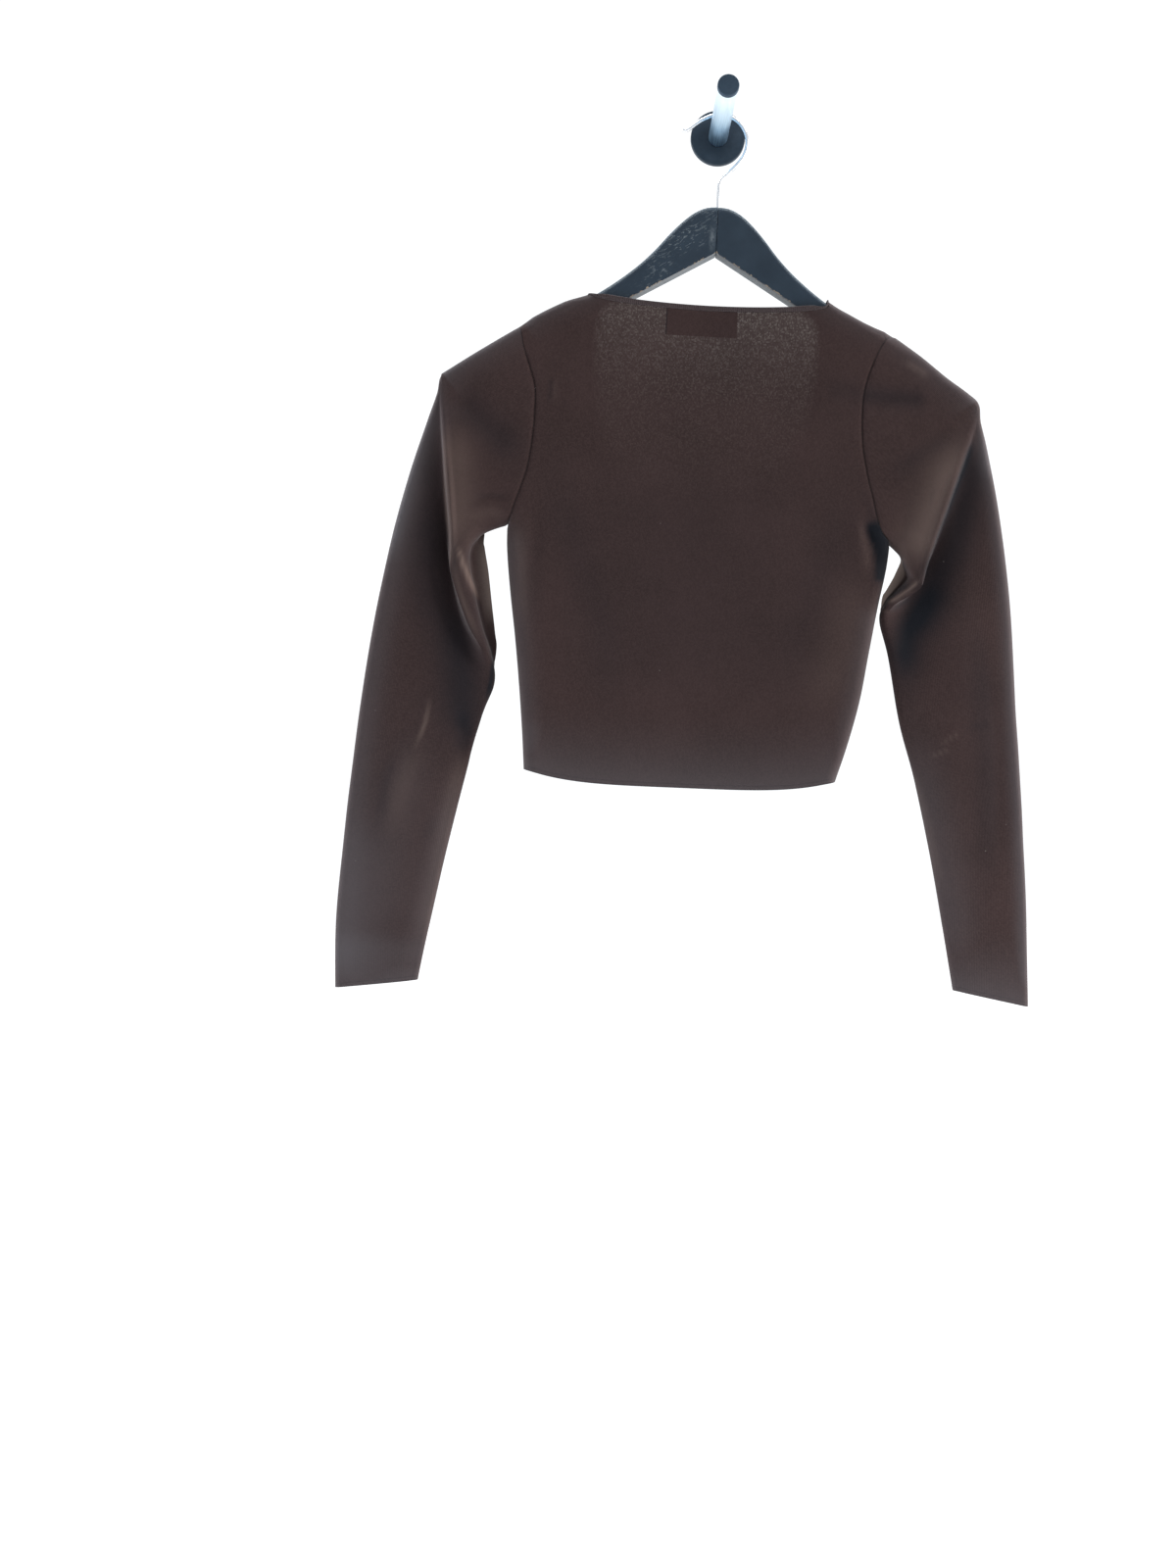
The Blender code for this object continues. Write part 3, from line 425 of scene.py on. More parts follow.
def paintedLightThroughNeck(place, stitches, tint):
    # painted light through the cloth, as a speckle that fades downwards, left out where the label
    # backs the cloth
    out, _, height = levelled(place).xyz()
    drop = height * -1
    across = abs(out - sheerLook["centre"]) / sheerLook["halfWidth"]
    up = ((sheerLook["widest"] - drop) / sheerLook["above"]).larger(0)
    down = ((drop - sheerLook["widest"]) / sheerLook["below"]).larger(0)
    inside = (across ** 3.4 + up ** 3.4 * 0.55 + down ** 2.2).ramp((0, 1), (0.74, 0.92), (1, 0))
    fade = ((drop - 0.15) / 0.17).ramp((0, 1), (0.1, 0.88), (0.18, 0.62), (0.3, 0.36),
                                        (0.5, 0.13), (1, 0))
    left, right, low = sheerLook["label"]
    outside = (out < left).larger(out > right).larger(drop > low)
    spot = stitches.ramp((0.3, 0.17), (0.75, 0.42), (1, 1))
    byEar = (out * 5 + 0.5).ramp((0.05, 0.8), (0.6, 0.95), (0.95, 1))
    share = (inside * fade * outside * spot).limited() * byEar
    # painted shade along the label's edge, seen through the cloth
    tapeEdge = (abs(out - (left + 0.0004)) < 0.0006) * (drop < low)
    return (tapeEdge * 0.55).mix(share.mix(tint, sheerLook["colour"]), knitLook["paintedShade"])


# seams of the sweater

SeamPoint = namedtuple("SeamPoint", "at normal")

body = {
    "cloth": 1.5,                   # thickness of the knit
    "seamGap": 0.07,
    "overArm": 7.5,                 # radius of the cloth's middle over the hanger's arm
    "offWood": 0.9,
    "sweepBlend": 40,
    "bridgeBack": 0.4,
    "freeSleeve": 220,
    "neck": {-1: -102.3, 1: 96.3},
    "backNeckDepth": 8.6,
    "scoopDepth": 158.7,
    "tip": {-1: 157, 1: 151},
    "underarm": {-1: (157.8, 341), 1: (157.2, 340)},
    "underarmRound": 9,
    "shortestRounding": 3,
    "rightSeamAngle": 60,           # the right shoulder seam lies forward of the top
    "hem": {-1: 542.2, 1: 538.8},
    "hemSag": 10.4,
    "hemCurve": 4,
    "seamGroove": 0.85,
    "seamGrooveWidth": 1.6,
    "flatBySeam": 7,                # folds and waves fade out this near to a seam
    "wave": 0.35,
    "nearReach": 2.5,               # cloth no further back than this belongs to the near layer
    "lowestSeam": 500,              # free edges lower than this are the hem and the cuffs
}
bodyMesh = {"arc": 7, "face": 50, "side": 46, "column": 50, "backNeck": 15, "scoop": 32}
underIndex = bodyMesh["arc"] * 2 + bodyMesh["face"]     # of the armhole's lowest point
sideName = {-1: "left", 1: "right"}

shoulderRows = table(
    "out left right",
    (88, 139.2, 139), (96, 144.8, 144.6), (102.3, 148.4, 147.8), (116, 153.4, 154.8),
    (122, 156, 157.6), (135, 163.2, 163.3), (145.6, 169.8, 167.4), (151, 174.4, 169.8),
    (157, 180, 173.4),
)
armholeRows = table(
    "share left right",
    (0, 0, 0), (0.03, 2, 7), (0.1, 5, 13.5), (0.2, 11, 20), (0.3, 16, 24), (0.42, 17, 25),
    (0.55, 16.5, 24), (0.7, 14, 19.5), (0.8, 10, 15), (0.9, 5, 11), (0.96, 2.5, 7), (1, 0, 0),
)
sideRows = table(
    "share left right",
    (0, 157.8, 157.2), (0.1, 156.9, 155.6), (0.26, 152.8, 150.3), (0.46, 146.4, 144.8),
    (0.66, 140.9, 139.4), (0.85, 136.3, 131), (1, 133.4, 122.7),
)
depthRows = table(
    "drop near far",
    (140, 7.3, 7.3), (190, 7.6, 7.5), (260, 9.2, 8), (340, 10.5, 8.6), (450, 12.2, 9.4),
    (555, 13.2, 10),
)
armTopRows = table(
    "out drop",
    (0, 67.5), (10, 69), (20, 74.2), (30, 83), (40, 94), (50, 106.3), (60, 117), (70, 126.2),
    (84, 137.5), (100, 148.6), (115, 156.4), (130, 164.3), (150, 175.3), (190, 202), (220, 223.5),
)


def armTop(x):
    return column(armTopRows, "drop", abs(x - hang["armCentre"]))


def armBottom(out):
    return hang["armEdge"][0] + hang["armEdge"][1] * out


def middle(x):
    # depth of the sweater's middle plane, which follows the sweep of the two arms
    out = min(abs(x), body["freeSleeve"])
    return hang["hookDepth"] + body["bridgeBack"] - hang["sweep"] * hypot(
        out, body["sweepBlend"])


def offMiddle(layer, drop):
    # from the middle plane to the near layer (-1) or to the far one (+1)
    return layer * column(depthRows, "near" if layer < 0 else "far", drop)


def shoulderDrop(x):
    return column(shoulderRows, sideName[1 if x > 0 else -1], abs(x))


def shoulderSlope(x):
    return shoulderDrop(x + 0.5) - shoulderDrop(x - 0.5)


def tipDrop(side):
    return shoulderDrop(side * body["tip"][side])


def offArm(at, clearance):
    # how far to move a point of the cloth so that it clears the hanger's arm
    out = abs(at.x - hang["armCentre"])
    if out > hang["armLength"] + clearance or -at.z > armBottom(out) + clearance:
        return Vector()
    core = Vector((at.x, hang["hookDepth"] - hang["sweep"] * out,
                   -(armTop(at.x) + hang["armHalf"])))
    away = at - core
    away.z = max(away.z, 0)
    lack = hang["armHalf"] + clearance - away.length
    return away.normalized() * lack if lack > 0 else Vector()


def shoulderX(side, drop, low, high):
    for _ in range(40):
        guess = (low + high) / 2
        if shoulderDrop(side * guess) < drop:
            low = guess
        else:
            high = guess
    return side * (low + high) / 2


def overArm(x, angle):
    # a point of the cloth over the hanger, angle degrees forward of its top
    turn = radians(angle)
    slope = atan(shoulderSlope(x))
    at = Vector((x, middle(x) - body["overArm"] * sin(turn),
                 -shoulderDrop(x) - body["overArm"] * (1 - cos(turn))))
    up = Vector((sin(slope), 0, cos(slope)))
    return SeamPoint(at, up * cos(turn) - Vector((0, sin(turn), 0)))


def armholePoint(side, layer, drop):
    # a point of the armhole at a drop
    top = tipDrop(side)
    underOut, bottom = body["underarm"][side]
    share = (drop - top) / (bottom - top)
    straight = between(body["tip"][side], underOut, share)
    x = side * (straight - column(armholeRows, sideName[side], share))
    rise = min(quarter((drop - top) / body["overArm"]),
               quarter((bottom - drop) / body["underarmRound"]))
    return Vector((x, middle(x) + offMiddle(layer, drop) * rise, -drop))


def backNeckAngles():
    return [90 * sin(turn) for turn in turns(bodyMesh["backNeck"])]


def armholeLoop(side):
    # the whole armhole seam: over the near layer, under the arm and up the far layer
    top = tipDrop(side)
    bottom = body["underarm"][side][1]
    arc, face, steps = bodyMesh["arc"], bodyMesh["face"], bodyMesh["scoop"]
    upper = [top + body["overArm"] * (1 - cos(t)) for t in turns(arc)]
    lower = [bottom - body["underarmRound"] * (1 - cos(t)) for t in reversed(turns(arc))]
    near = [between(upper[-1], lower[0], i / face) for i in range(1, face)]
    corner = shoulderDrop(body["neck"][side])
    scoop = [corner + body["scoopDepth"] * cos(radians(70 * (1 - i / (steps - 1))))
             for i in range(steps)]
    spare = face - 1 - steps
    below = [between(scoop[-1], lower[0], i / (spare + 1)) for i in range(1, spare + 1)]
    points = [armholePoint(side, -1, d) for d in upper + near + lower]
    points += [armholePoint(side, 1, d) for d in reversed(upper + scoop + below + lower)][1:-1]
    loop = []
    for i, at in enumerate(points):
        along = points[(i + 1) % len(points)] - points[i - 1]
        over = quarter((-at.z - top) / body["overArm"])
        low = quarter((bottom + at.z) / body["underarmRound"])
        slope = abs(shoulderSlope(at.x))
        rise = {0: -slope, underIndex: 1}.get(i, sqrt(1 - low ** 2)
                                                - slope * sqrt(1 - over ** 2))
        loop.append(SeamPoint(at, along.cross(Vector((1, 0, side * rise))).normalized()))
    return loop


def sideSeam(side):
    seam = []
    for step in range(bodyMesh["side"]):
        share = 1 - (step / bodyMesh["side"])
        if share > 0.9:
            share = 1 - (1 - share) ** 1.35 * 0.1 ** -0.35
        x = side * column(sideRows, sideName[side], share)
        drop = between(body["underarm"][side][1], body["hem"][side], share)
        seam.append(SeamPoint(Vector((x, middle(x), -drop)), Vector((side, 0, 0))))
    return seam


# cloth: sheets, creases and their thickness

class Sheet:
    # a piece of cloth by its middle surface, with a UV map in metres

    def __init__(self):
        self.points = []
        self.faces = []
        self.fixed = {}
        self.index = {}

    def add(self, at, normal=None):
        key = tuple(round(c, 4) for c in at)
        if key not in self.index:
            self.index[key] = len(self.points)
            self.points.append(at.copy())
        if normal is not None:
            self.fixed[self.index[key]] = normal.normalized()
        return self.index[key]

    def addGrid(self, rows, uvRows):
        for j in range(len(rows) - 1):
            for i in range(len(rows[j]) - 1):
                face = {}
                for a, b in ((j, i), (j, i + 1), (j + 1, i + 1), (j + 1, i)):
                    face.setdefault(rows[a][b], uvRows[a][b])
                if len(face) > 2:
                    self.faces.append(list(face.items()))

    def turnOver(self):
        self.faces = [face[::-1] for face in self.faces]

    def normals(self, keepFixed=True):
        total = [Vector() for _ in self.points]
        for face in self.faces:
            corners = [self.points[i] for i, _ in face]
            normal = Vector()
            for start, end in zip(corners, corners[1:] + corners[:1]):
                normal += start.cross(end)
            for i, _ in face:
                total[i] += normal
        made = [n.normalized() for n in total]
        if keepFixed:
            for i, n in self.fixed.items():
                made[i] = n
        return made

    def rim(self):
        used = {}
        for face in self.faces:
            for (start, startUv), (end, endUv) in zip(face, face[1:] + face[:1]):
                used[(start, end)] = (startUv, endUv)
        return {edge: uv for edge, uv in used.items() if edge[::-1] not in used}

    def sewn(self, edge):
        return edge[0] in self.fixed and edge[1] in self.fixed

    def drawIn(self, normals, gap):
        inward = {}
        for start, end in filter(self.sewn, self.rim()):
            edge = self.points[end] - self.points[start]
            for i in (start, end):
                inward.setdefault(i, []).append(normals[i].cross(edge).normalized())
        moved = [p.copy() for p in self.points]
        for i, ways in inward.items():
            way = sum(ways, Vector())
            moved[i] += way * (gap / 2) / max(way.length_squared / len(ways), 0.6)
        return moved


class Fold:
    # one crease through several (out, drop) places; its widths are to the left and right of
    # the line as it runs down, and it fades out over the taper at both ends

    def __init__(self, places, width, height, taper=0.3):
        self.spans = []
        self.length = 0
        for (x1, d1), (x2, d2) in zip(places, places[1:]):
            span = hypot(x2 - x1, d2 - d1)
            self.spans.append((x1, d1, (x2 - x1) / span, (d2 - d1) / span, span, self.length))
            self.length += span
        self.widths = width if isinstance(width, tuple) else (width, width)
        self.height = height
        self.taper = taper * self.length
        reach = 2.6 * max(self.widths)
        self.box = [(min(line) - reach, max(line) + reach) for line in zip(*places)]

    def rise(self, x, drop):
        if not all(low < at < high for at, (low, high) in zip((x, drop), self.box)):
            return 0
        best = None
        for x1, d1, wayX, wayD, span, begun in self.spans:
            along = clamp((x - x1) * wayX + (drop - d1) * wayD, 0, span)
            offX, offD = x - x1 - wayX * along, drop - d1 - wayD * along
            far = offX * offX + offD * offD
            if best is None or far < best[0]:
                best = (far, begun + along, offD * wayX - offX * wayD)
        far, along, hand = best
        rise = self.height * exp(-far / self.widths[0 if hand > 0 else 1] ** 2)
        for end in (along, self.length - along):
            rise *= soften((end + self.taper * 0.3) / (self.taper * 1.3))
        return rise


def folds(*rows):
    return [Fold(*row) for row in rows]


def foldRise(lines, at):
    # how far soft troughs and ridges move the cloth out at a place
    return sum(fold.rise(at.x, -at.z) for fold in lines)


def lineTree(points, edges):
    # a search tree of places along some edges, close together
    places = []
    for start, end in edges:
        steps = max(1, ceil((points[end] - points[start]).length / 0.6))
        places += [points[start].lerp(points[end], i / steps) for i in range(steps + 1)]
    tree = kdtree.KDTree(max(len(places), 1))
    for i, place in enumerate(places):
        tree.insert(place, i)
    tree.balance()
    return tree


def thicken(name, sheet, points, normals, thick, material, masks=None):
    # both faces and the rim of a sheet; masks hold for each point its distances from seams
    # and brims, its painted shade and painted highlight, and its painted edge light and painted
    # glow
    shape = bmesh.new()
    layers = [shape.loops.layers.uv.new(n) for n in ("cloth", "edges", "shade", "veil")]
    front, back = ([shape.verts.new(swung(p + n * thick / 2 * way))
                    for p, n in zip(points, normals)] for way in (1, -1))

    def place(corners, spots):
        face = shape.faces.new(corners)
        for loop, (i, uv) in zip(face.loops, spots):
            for layer, spot in zip(layers, (uv, *(masks[i] if masks else ()))):
                loop[layer].uv = spot

    for face in sheet.faces:
        place([front[i] for i, _ in face], face)
        place([back[i] for i, _ in reversed(face)], face[::-1])
    for (start, end), (startUv, endUv) in sheet.rim().items():
        place((front[end], front[start], back[start], back[end]),
              ((end, endUv), (start, startUv), (start, startUv), (end, endUv)))
    return addMesh(name, shape, material)


def clothShell(name, sheet, material, seed, nearFolds=(), farFolds=(), paintedShade=(), paintedHighlight=(),
               veil=(), glow=()):
    normals = sheet.normals()
    points = sheet.drawIn(normals, body["seamGap"])
    rim = sheet.rim()
    seamTree = lineTree(points, filter(sheet.sewn, rim))
    brimTree = lineTree(points, [e for e in rim if not sheet.sewn(e)
                                 and points[e[0]].z < -body["lowestSeam"]])
    smooth = sheet.normals(keepFixed=False)
    thick = body["cloth"]
    moved, masks = [], []
    for i, (p, n) in enumerate(zip(points, normals)):
        near = p.y < middle(p.x) + body["nearReach"]
        rise = foldRise(nearFolds if near else farFolds, p)
        spot = Vector((p.x / 38, p.z / 55, seed + (0 if near else 9)))
        rise += body["wave"] * noise.noise(spot)
        gap = seamTree.find(p)[2]
        four = (paintedShade, paintedHighlight, veil, ()) if near else ((), (), veil, glow)
        tones = [clamp(foldRise(mask, p)) for mask in four]
        masks.append(((gap * mm, brimTree.find(p)[2] * mm), tones[:2], tones[2:]))
        rise *= soften(gap / body["flatBySeam"])
        rise -= body["seamGroove"] * exp(-(gap / body["seamGrooveWidth"]) ** 2)
        way = n if i in sheet.fixed else smooth[i]
        q = p + way * rise
        moved.append(q + offArm(q - way * thick / 2, body["offWood"]))
    obj = thicken(name, sheet, moved, normals, thick, material, masks)
    edge = obj.modifiers.new("Soft edge", "BEVEL")
    edge.width = 0.45 * mm
    edge.segments = 2
    edge.limit_method = "ANGLE"
    edge.angle_limit = radians(60)
    return obj


def halfRow(seam, inner, layer, rounding):
    width = inner.x - seam.x
    full = offMiddle(layer, -seam.z)
    begun = min((seam.y - middle(seam.x)) / full, 1)
    done = rounding * (1 - sqrt(1 - begun ** 2))
    reach = min(max(rounding - done, body["shortestRounding"]), abs(width) * 0.5)
    columns = bodyMesh["column"]
    spots = [reach * (1 - cos(turn)) for turn in turns(bodyMesh["arc"])[1:]]
    rest = abs(width) - reach
    spots += [reach + rest * i / columns for i in range(1, columns + 1)]
    row = []
    for spot in spots:
        x = seam.x + copysign(spot, width)
        z = between(seam.z, inner.z, spot / abs(width) if width else 0)
        off = offMiddle(layer, -z) * quarter((done + spot) / rounding)
        row.append(Vector((x, middle(x) + off, z)))
    return row


def roundLength(seamPoint):
    if -seamPoint.at.z > tipDrop(-1) + body["overArm"]:
        return body["underarmRound"]
    return body["overArm"] / abs(shoulderSlope(seamPoint.at.x))


def rowUv(points):
    # across by true length from the innermost point, down by drop
    way = copysign(1, points[0].x - points[-1].x)
    across = points[-1].x
    made = [(across * mm, points[-1].z * mm)]
    for p, inner in zip(points[-2::-1], points[::-1]):
        across += (p - inner).length * way
        made.append((across * mm, p.z * mm))
    return made[::-1]


def panelSheet(leftSeam, rightSeam, layer, neck):
    sheet = Sheet()
    rows, uvs = {-1: [], 1: []}, {-1: [], 1: []}
    firstNeck = len(leftSeam) - len(neck)
    for i, (left, right) in enumerate(zip(leftSeam, rightSeam)):
        centre, half = between(left.at.x, right.at.x, 0.5), 0
        if i >= firstNeck:
            centre, half = neck[i - firstNeck]
        low = max(0, 1 - i / bodyMesh["side"]) ** 2
        for seam, way in ((left, -1), (right, 1)):
            share = (centre + way * half - left.at.x) / (right.at.x - left.at.x)
            inner = Vector((centre + way * half, 0, between(left.at.z, right.at.z, share)))
            points = halfRow(seam.at, inner, layer, roundLength(seam))
            for p in points:
                across = (p.x - left.at.x) / (right.at.x - left.at.x)
                p.z -= low * body["hemSag"] * (1 - abs(2 * across - 1) ** body["hemCurve"])
            rows[way].append([sheet.add(seam.at, seam.normal)] + [sheet.add(p) for p in points])
            uvs[way].append(rowUv([seam.at] + points))
    sheet.addGrid(rows[-1], uvs[-1])
    sheet.addGrid([r[::-1] for r in rows[1]], [r[::-1] for r in uvs[1]])
    if layer > 0:
        sheet.turnOver()
    edge = [row[-1] for row in rows[-1][firstNeck:]][::-1]
    edge += [row[-1] for row in rows[1][firstNeck:]][1:]
    return sheet, edge


def shoulderSeam(side, angle):
    neck, tip = body["neck"][side], body["tip"][side]
    corner = shoulderDrop(neck)
    drops = [corner + body["backNeckDepth"] * cos(radians(a)) for a in backNeckAngles()]
    drops = [between(tipDrop(side), drops[0], (i + 1) / 5) for i in range(4)] + drops
    return [overArm(shoulderX(side, d, abs(neck), tip), angle) for d in drops]


def withMidpoints(seam, extra):
    seam = list(seam)
    for _ in range(extra):
        spans = [(b.at - a.at).length for a, b in zip(seam, seam[1:])]
        i = spans.index(max(spans))
        first, second = seam[i], seam[i + 1]
        half = SeamPoint((first.at + second.at) / 2, first.normal + second.normal)
        seam.insert(i + 1, half)
    return seam


forward = round(body["rightSeamAngle"] / 90 * bodyMesh["arc"])     # steps, on the right


def backPanelSheet(loops):
    leftLoop, rightLoop = loops
    left = sideSeam(-1) + leftLoop[underIndex::-1] + shoulderSeam(-1, 0)
    shoulder = [rightLoop[forward]] + shoulderSeam(1, body["rightSeamAngle"])
    right = sideSeam(1) + rightLoop[underIndex:forward:-1] + withMidpoints(shoulder, forward)
    centre = (left[-1].at.x + right[-1].at.x) / 2
    half = (right[-1].at.x - left[-1].at.x) / 2
    neck = [(centre, half * sin(radians(a))) for a in backNeckAngles()]
    return panelSheet(left, right, -1, neck)


def frontPanelSheet(loops):
    left, right = (sideSeam(side) + loop[underIndex:] + [loop[0]] + shoulderSeam(side, 0)
                   for side, loop in zip((-1, 1), loops))
    neckLeft, neckRight = body["neck"].values()
    centre, half = (neckLeft + neckRight) / 2, (neckRight - neckLeft) / 2
    level = (shoulderDrop(neckLeft) + shoulderDrop(neckRight)) / 2
    neck = []
    for a, b in zip(left, right):
        rise = (-(a.at.z + b.at.z) / 2 - level) / body["scoopDepth"]
        if rise <= 1.0001:
            neck.append((centre, half * sqrt(max(0, 1 - min(rise, 1) ** 2))))
    neck[-1] = (centre, half)
    sheet, edge = panelSheet(left, right, 1, neck)
    strip, stripUv = [], []
    for p in right[-len(backNeckAngles()) - 5:]:
        row = [sheet.add(p.at)]
        sheet.fixed.pop(row[0], None)
        for i in range(1, forward + 1):
            lap = overArm(p.at.x, 90 * i / bodyMesh["arc"])
            row.append(sheet.add(lap.at, lap.normal if i == forward else None))
        strip.append(row)
        stripUv.append([(p.at.x * mm, (p.at.z + i * 2) * mm) for i in range(forward + 1)])
    for i, seamPoint in zip(strip[0], loops[1]):
        sheet.points[i] = seamPoint.at.copy()
        sheet.fixed[i] = seamPoint.normal
    sheet.addGrid(strip[::-1], stripUv[::-1])
    return sheet, edge + strip[-1][1:]


# sleeves: each row of the tables is one ring, from the head down to the cuff
sleeveFields = "out drop fold nearOut nearDrop farOut farDrop bulge mid beside lip far farLip"
leftSleeveRows = table(
    sleeveFields,
    (179, 194.2, 7.3, 170, 331, 170, 331, 14.5, 9.5, 9.5, 9, 8.5, 8),
    (200, 209.8, 7.3, 185, 341, 176, 341, 10, 10.5, 10.8, 10, 9, 6.5),
    (213.5, 219, 7.3, 196, 358, 177, 352, 4, 12, 12.5, 12, 9.5, 5.5),
    (219, 224.6, 7.3, 200, 369, 177, 359, 2, 13.5, 14.5, 14, 10, 5),
    (221, 238, 7.3, 201.7, 375, 175, 367, 1, 5.5, 4, 14, 10, 5),
    (228, 262, 7, 201, 385, 172, 381, 0, 3, -0.5, 14, 10, 5),
    (238.7, 300, 6.5, 194.5, 404, 168.5, 403, 0, 3.5, -1.5, 13, 10, 5),
    (250.2, 350, 6, 184, 428, 164.5, 429, 0, 5, -1, 12, 10, 5),
    (258.5, 399, 6, 171.5, 449, 162.5, 450, 1, 6.8, 1, 9.5, 9, 5),
    (264.5, 442, 6, 168, 471, 167.5, 471, 5.5, 8.5, 5.5, 5, 8, 4.5),
    (270.5, 500, 5.5, 177.5, 505, 177.5, 505, 5, 8, 7, 4, 7.5, 4),
    (276.9, 590, 5.5, 194.4, 586, 194.4, 586, 5, 7.5, 7, 4, 7, 4),
    (280.6, 675, 5, 208.5, 668, 208.5, 668, 4.5, 6.3, 6, 4, 6, 4),
    (278.4, 729.7, 5, 216, 720.5, 216, 720.5, 4, 5.8, 5.6, 4, 5.6, 4),
)
rightSleeveRows = table(
    sleeveFields,
    (173, 184.6, 7.3, 163.5, 331, 163.5, 331, 14, 9.5, 9.5, 9, 8.5, 8),
    (196, 202.2, 7.3, 170, 343, 168, 341, 8.5, 10.5, 10.8, 10, 9, 6.5),
    (214, 214.4, 7.3, 177, 361, 168.5, 350, 4, 12, 12.5, 12, 9.5, 5.5),
    (223, 222.6, 7.3, 181, 371.5, 168.5, 355.5, 2, 13.5, 14, 14, 10, 5),
    (225.3, 237, 7.3, 182.6, 375.5, 166.5, 361, 1, 5.5, 3.5, 14, 10, 5),
    (231.8, 259, 7, 178.5, 380, 163, 368.5, 0, 2.5, -0.5, 13, 10, 5),
    (242.5, 301, 6.5, 170, 385.5, 159, 377, 0, 2.5, -1.5, 12, 10, 5),
    (253.8, 359, 6, 160.5, 393, 155, 387, 0, 4, -1, 9.5, 9.5, 5),
    (259.8, 399, 6, 157, 404, 156.5, 403, 3, 6.5, 0, 5, 9, 4.5),
    (265.5, 455, 6, 166.5, 434, 166.5, 434, 4.5, 8.5, 4, 4.5, 8, 4),
    (271.8, 515, 5.5, 179, 488, 179, 488, 5, 8, 7, 4, 7.5, 4),
    (278.6, 572, 5.5, 194.2, 538, 194.2, 538, 5, 7.5, 7, 4, 7, 4),
    (284.8, 633, 5, 212, 608, 212, 608, 4.5, 6.3, 6, 4, 6, 4),
    (290.6, 715, 5, 233.6, 705.5, 233.6, 705.5, 4, 5.8, 5.6, 4, 5.6, 4),
)
sleeve = {"mid": 0.42, "beside": 0.82, "rings": 13}


def sleeveRing(side, row):
    fold = Vector((row.out, row.drop))
    near = Vector((row.nearOut, row.nearDrop))
    far = Vector((row.farOut, row.farDrop))
    inward = {-1: (far - fold).normalized(), 1: (near - fold).normalized()}
    edge = (near + far) / 2 + (inward[1] + inward[-1]).normalized() * row.bulge
    edgeOff = (row.lip - row.farLip) / 2
    arc, face = turns(bodyMesh["arc"]), bodyMesh["face"]

    def half(way, corner, lip, keys):
        # from the outer fold to the middle of the inner edge, on the near (+1) or far side
        def place(xz, off):
            return Vector((side * xz.x, middle(xz.x) - off, -xz.y))

        start = fold + inward[way] * row.fold
        made = [place(fold + inward[way] * row.fold * (1 - cos(turn)),
                      way * row.fold * sin(turn)) for turn in arc[:-1]]
        made += [place(start.lerp(corner, i / face), way * column(keys, "off", i / face))
                 for i in range(face + 1)]
        return made + [place(corner + (edge - corner) * sin(turn),
                             between(way * lip, edgeOff, 1 - cos(turn))) for turn in arc[1:]]

    nearHalf = half(1, near, row.lip, table(
        "share off", (0, row.fold), (sleeve["mid"], row.mid), (sleeve["beside"], row.beside),
        (1, row.lip)))
    farHalf = half(-1, far, row.farLip, table(
        "share off", (0, row.fold), (0.5, row.far), (1, row.farLip)))
    return nearHalf + farHalf[-2:0:-1]


def sleeveSheet(side, widths, loop):
    rings = [[p.at for p in loop]] + [sleeveRing(side, row) for row in widths]
    sheet = Sheet()
    last = len(rings) - 1
    rows, lengths = [[sheet.add(p.at, p.normal) for p in loop]], [0]
    before = rings[0][0]
    for i in range(last + 1):
        steps = sleeve["rings"] if i < last else 1
        for step in range(0 if i else 1, steps):
            share = step / steps
            if i == 0:
                share = share ** 1.6
            if i == last - 1:
                share = 1 - (1 - share) ** 1.5
            ring = rings[last]
            if i < last:
                four = [rings[max(i - 1, 0)], rings[i], rings[i + 1], rings[min(i + 2, last)]]
                ring = [splineStep(*places, share) for places in zip(*four)]
            lengths.append(lengths[-1] + (ring[0] - before).length)
            before = ring[0]
            rows.append([sheet.add(p) for p in ring])
    nearRows, farRows, nearUv, farUv = [], [], [], []
    for row, down in zip(rows, lengths):
        whole = row + row[:1]
        spots = [0]
        for a, b in zip(whole, whole[1:]):
            spots.append(spots[-1] + (sheet.points[b] - sheet.points[a]).length)
        nearRows.append(whole[:underIndex + 1])
        nearUv.append([(s * mm, -down * mm) for s in spots[:underIndex + 1]])
        farRows.append(whole[underIndex:])
        farUv.append([((s - spots[-1]) * mm, -down * mm) for s in spots[underIndex:]])
    sheet.addGrid(nearRows, nearUv)
    sheet.addGrid(farRows, farUv)
    if side < 0:
        sheet.turnOver()
    return sheet


# creases run through (out, drop) places, out being to the right of the peg where positive;
# negative heights are troughs, positive ones ridges
backFolds = folds(
    ([(-150, 326), (-144, 345), (-141, 366)], 4, 0.9),
    ([(-137, 322), (-133, 350), (-133, 380)], 6, -0.6),
    ([(136, 322), (144, 342), (150, 362)], 6.5, -4),
    ([(126, 318), (131, 345), (136, 372)], 6, 0.8),
    ([(-128.6, 219), (-128.4, 240)], 2.5, -0.5),
    ([(-124, 222), (-124, 244)], 3, 0.35),
    ([(-60, 420), (-66, 470), (-74, 530)], 16, -0.5),
    ([(70, 400), (64, 460), (60, 530)], 14, 0.4),
)
frontFolds = folds(
    ([(-138, 318), (-128, 350), (-124, 385)], 9, -1.8),
    ([(140, 320), (128, 348), (120, 390)], 10, -2.2),
    ([(-70, 300), (-60, 350), (-30, 380)], 14, 0.9),
    ([(60, 310), (45, 352), (15, 378)], 12, 0.8),
    ([(-40, 440), (-52, 520)], 18, -0.9),
    ([(50, 430), (72, 525)], 16, -0.8),
    ([(5, 400), (8, 500)], 20, 0.6),
)
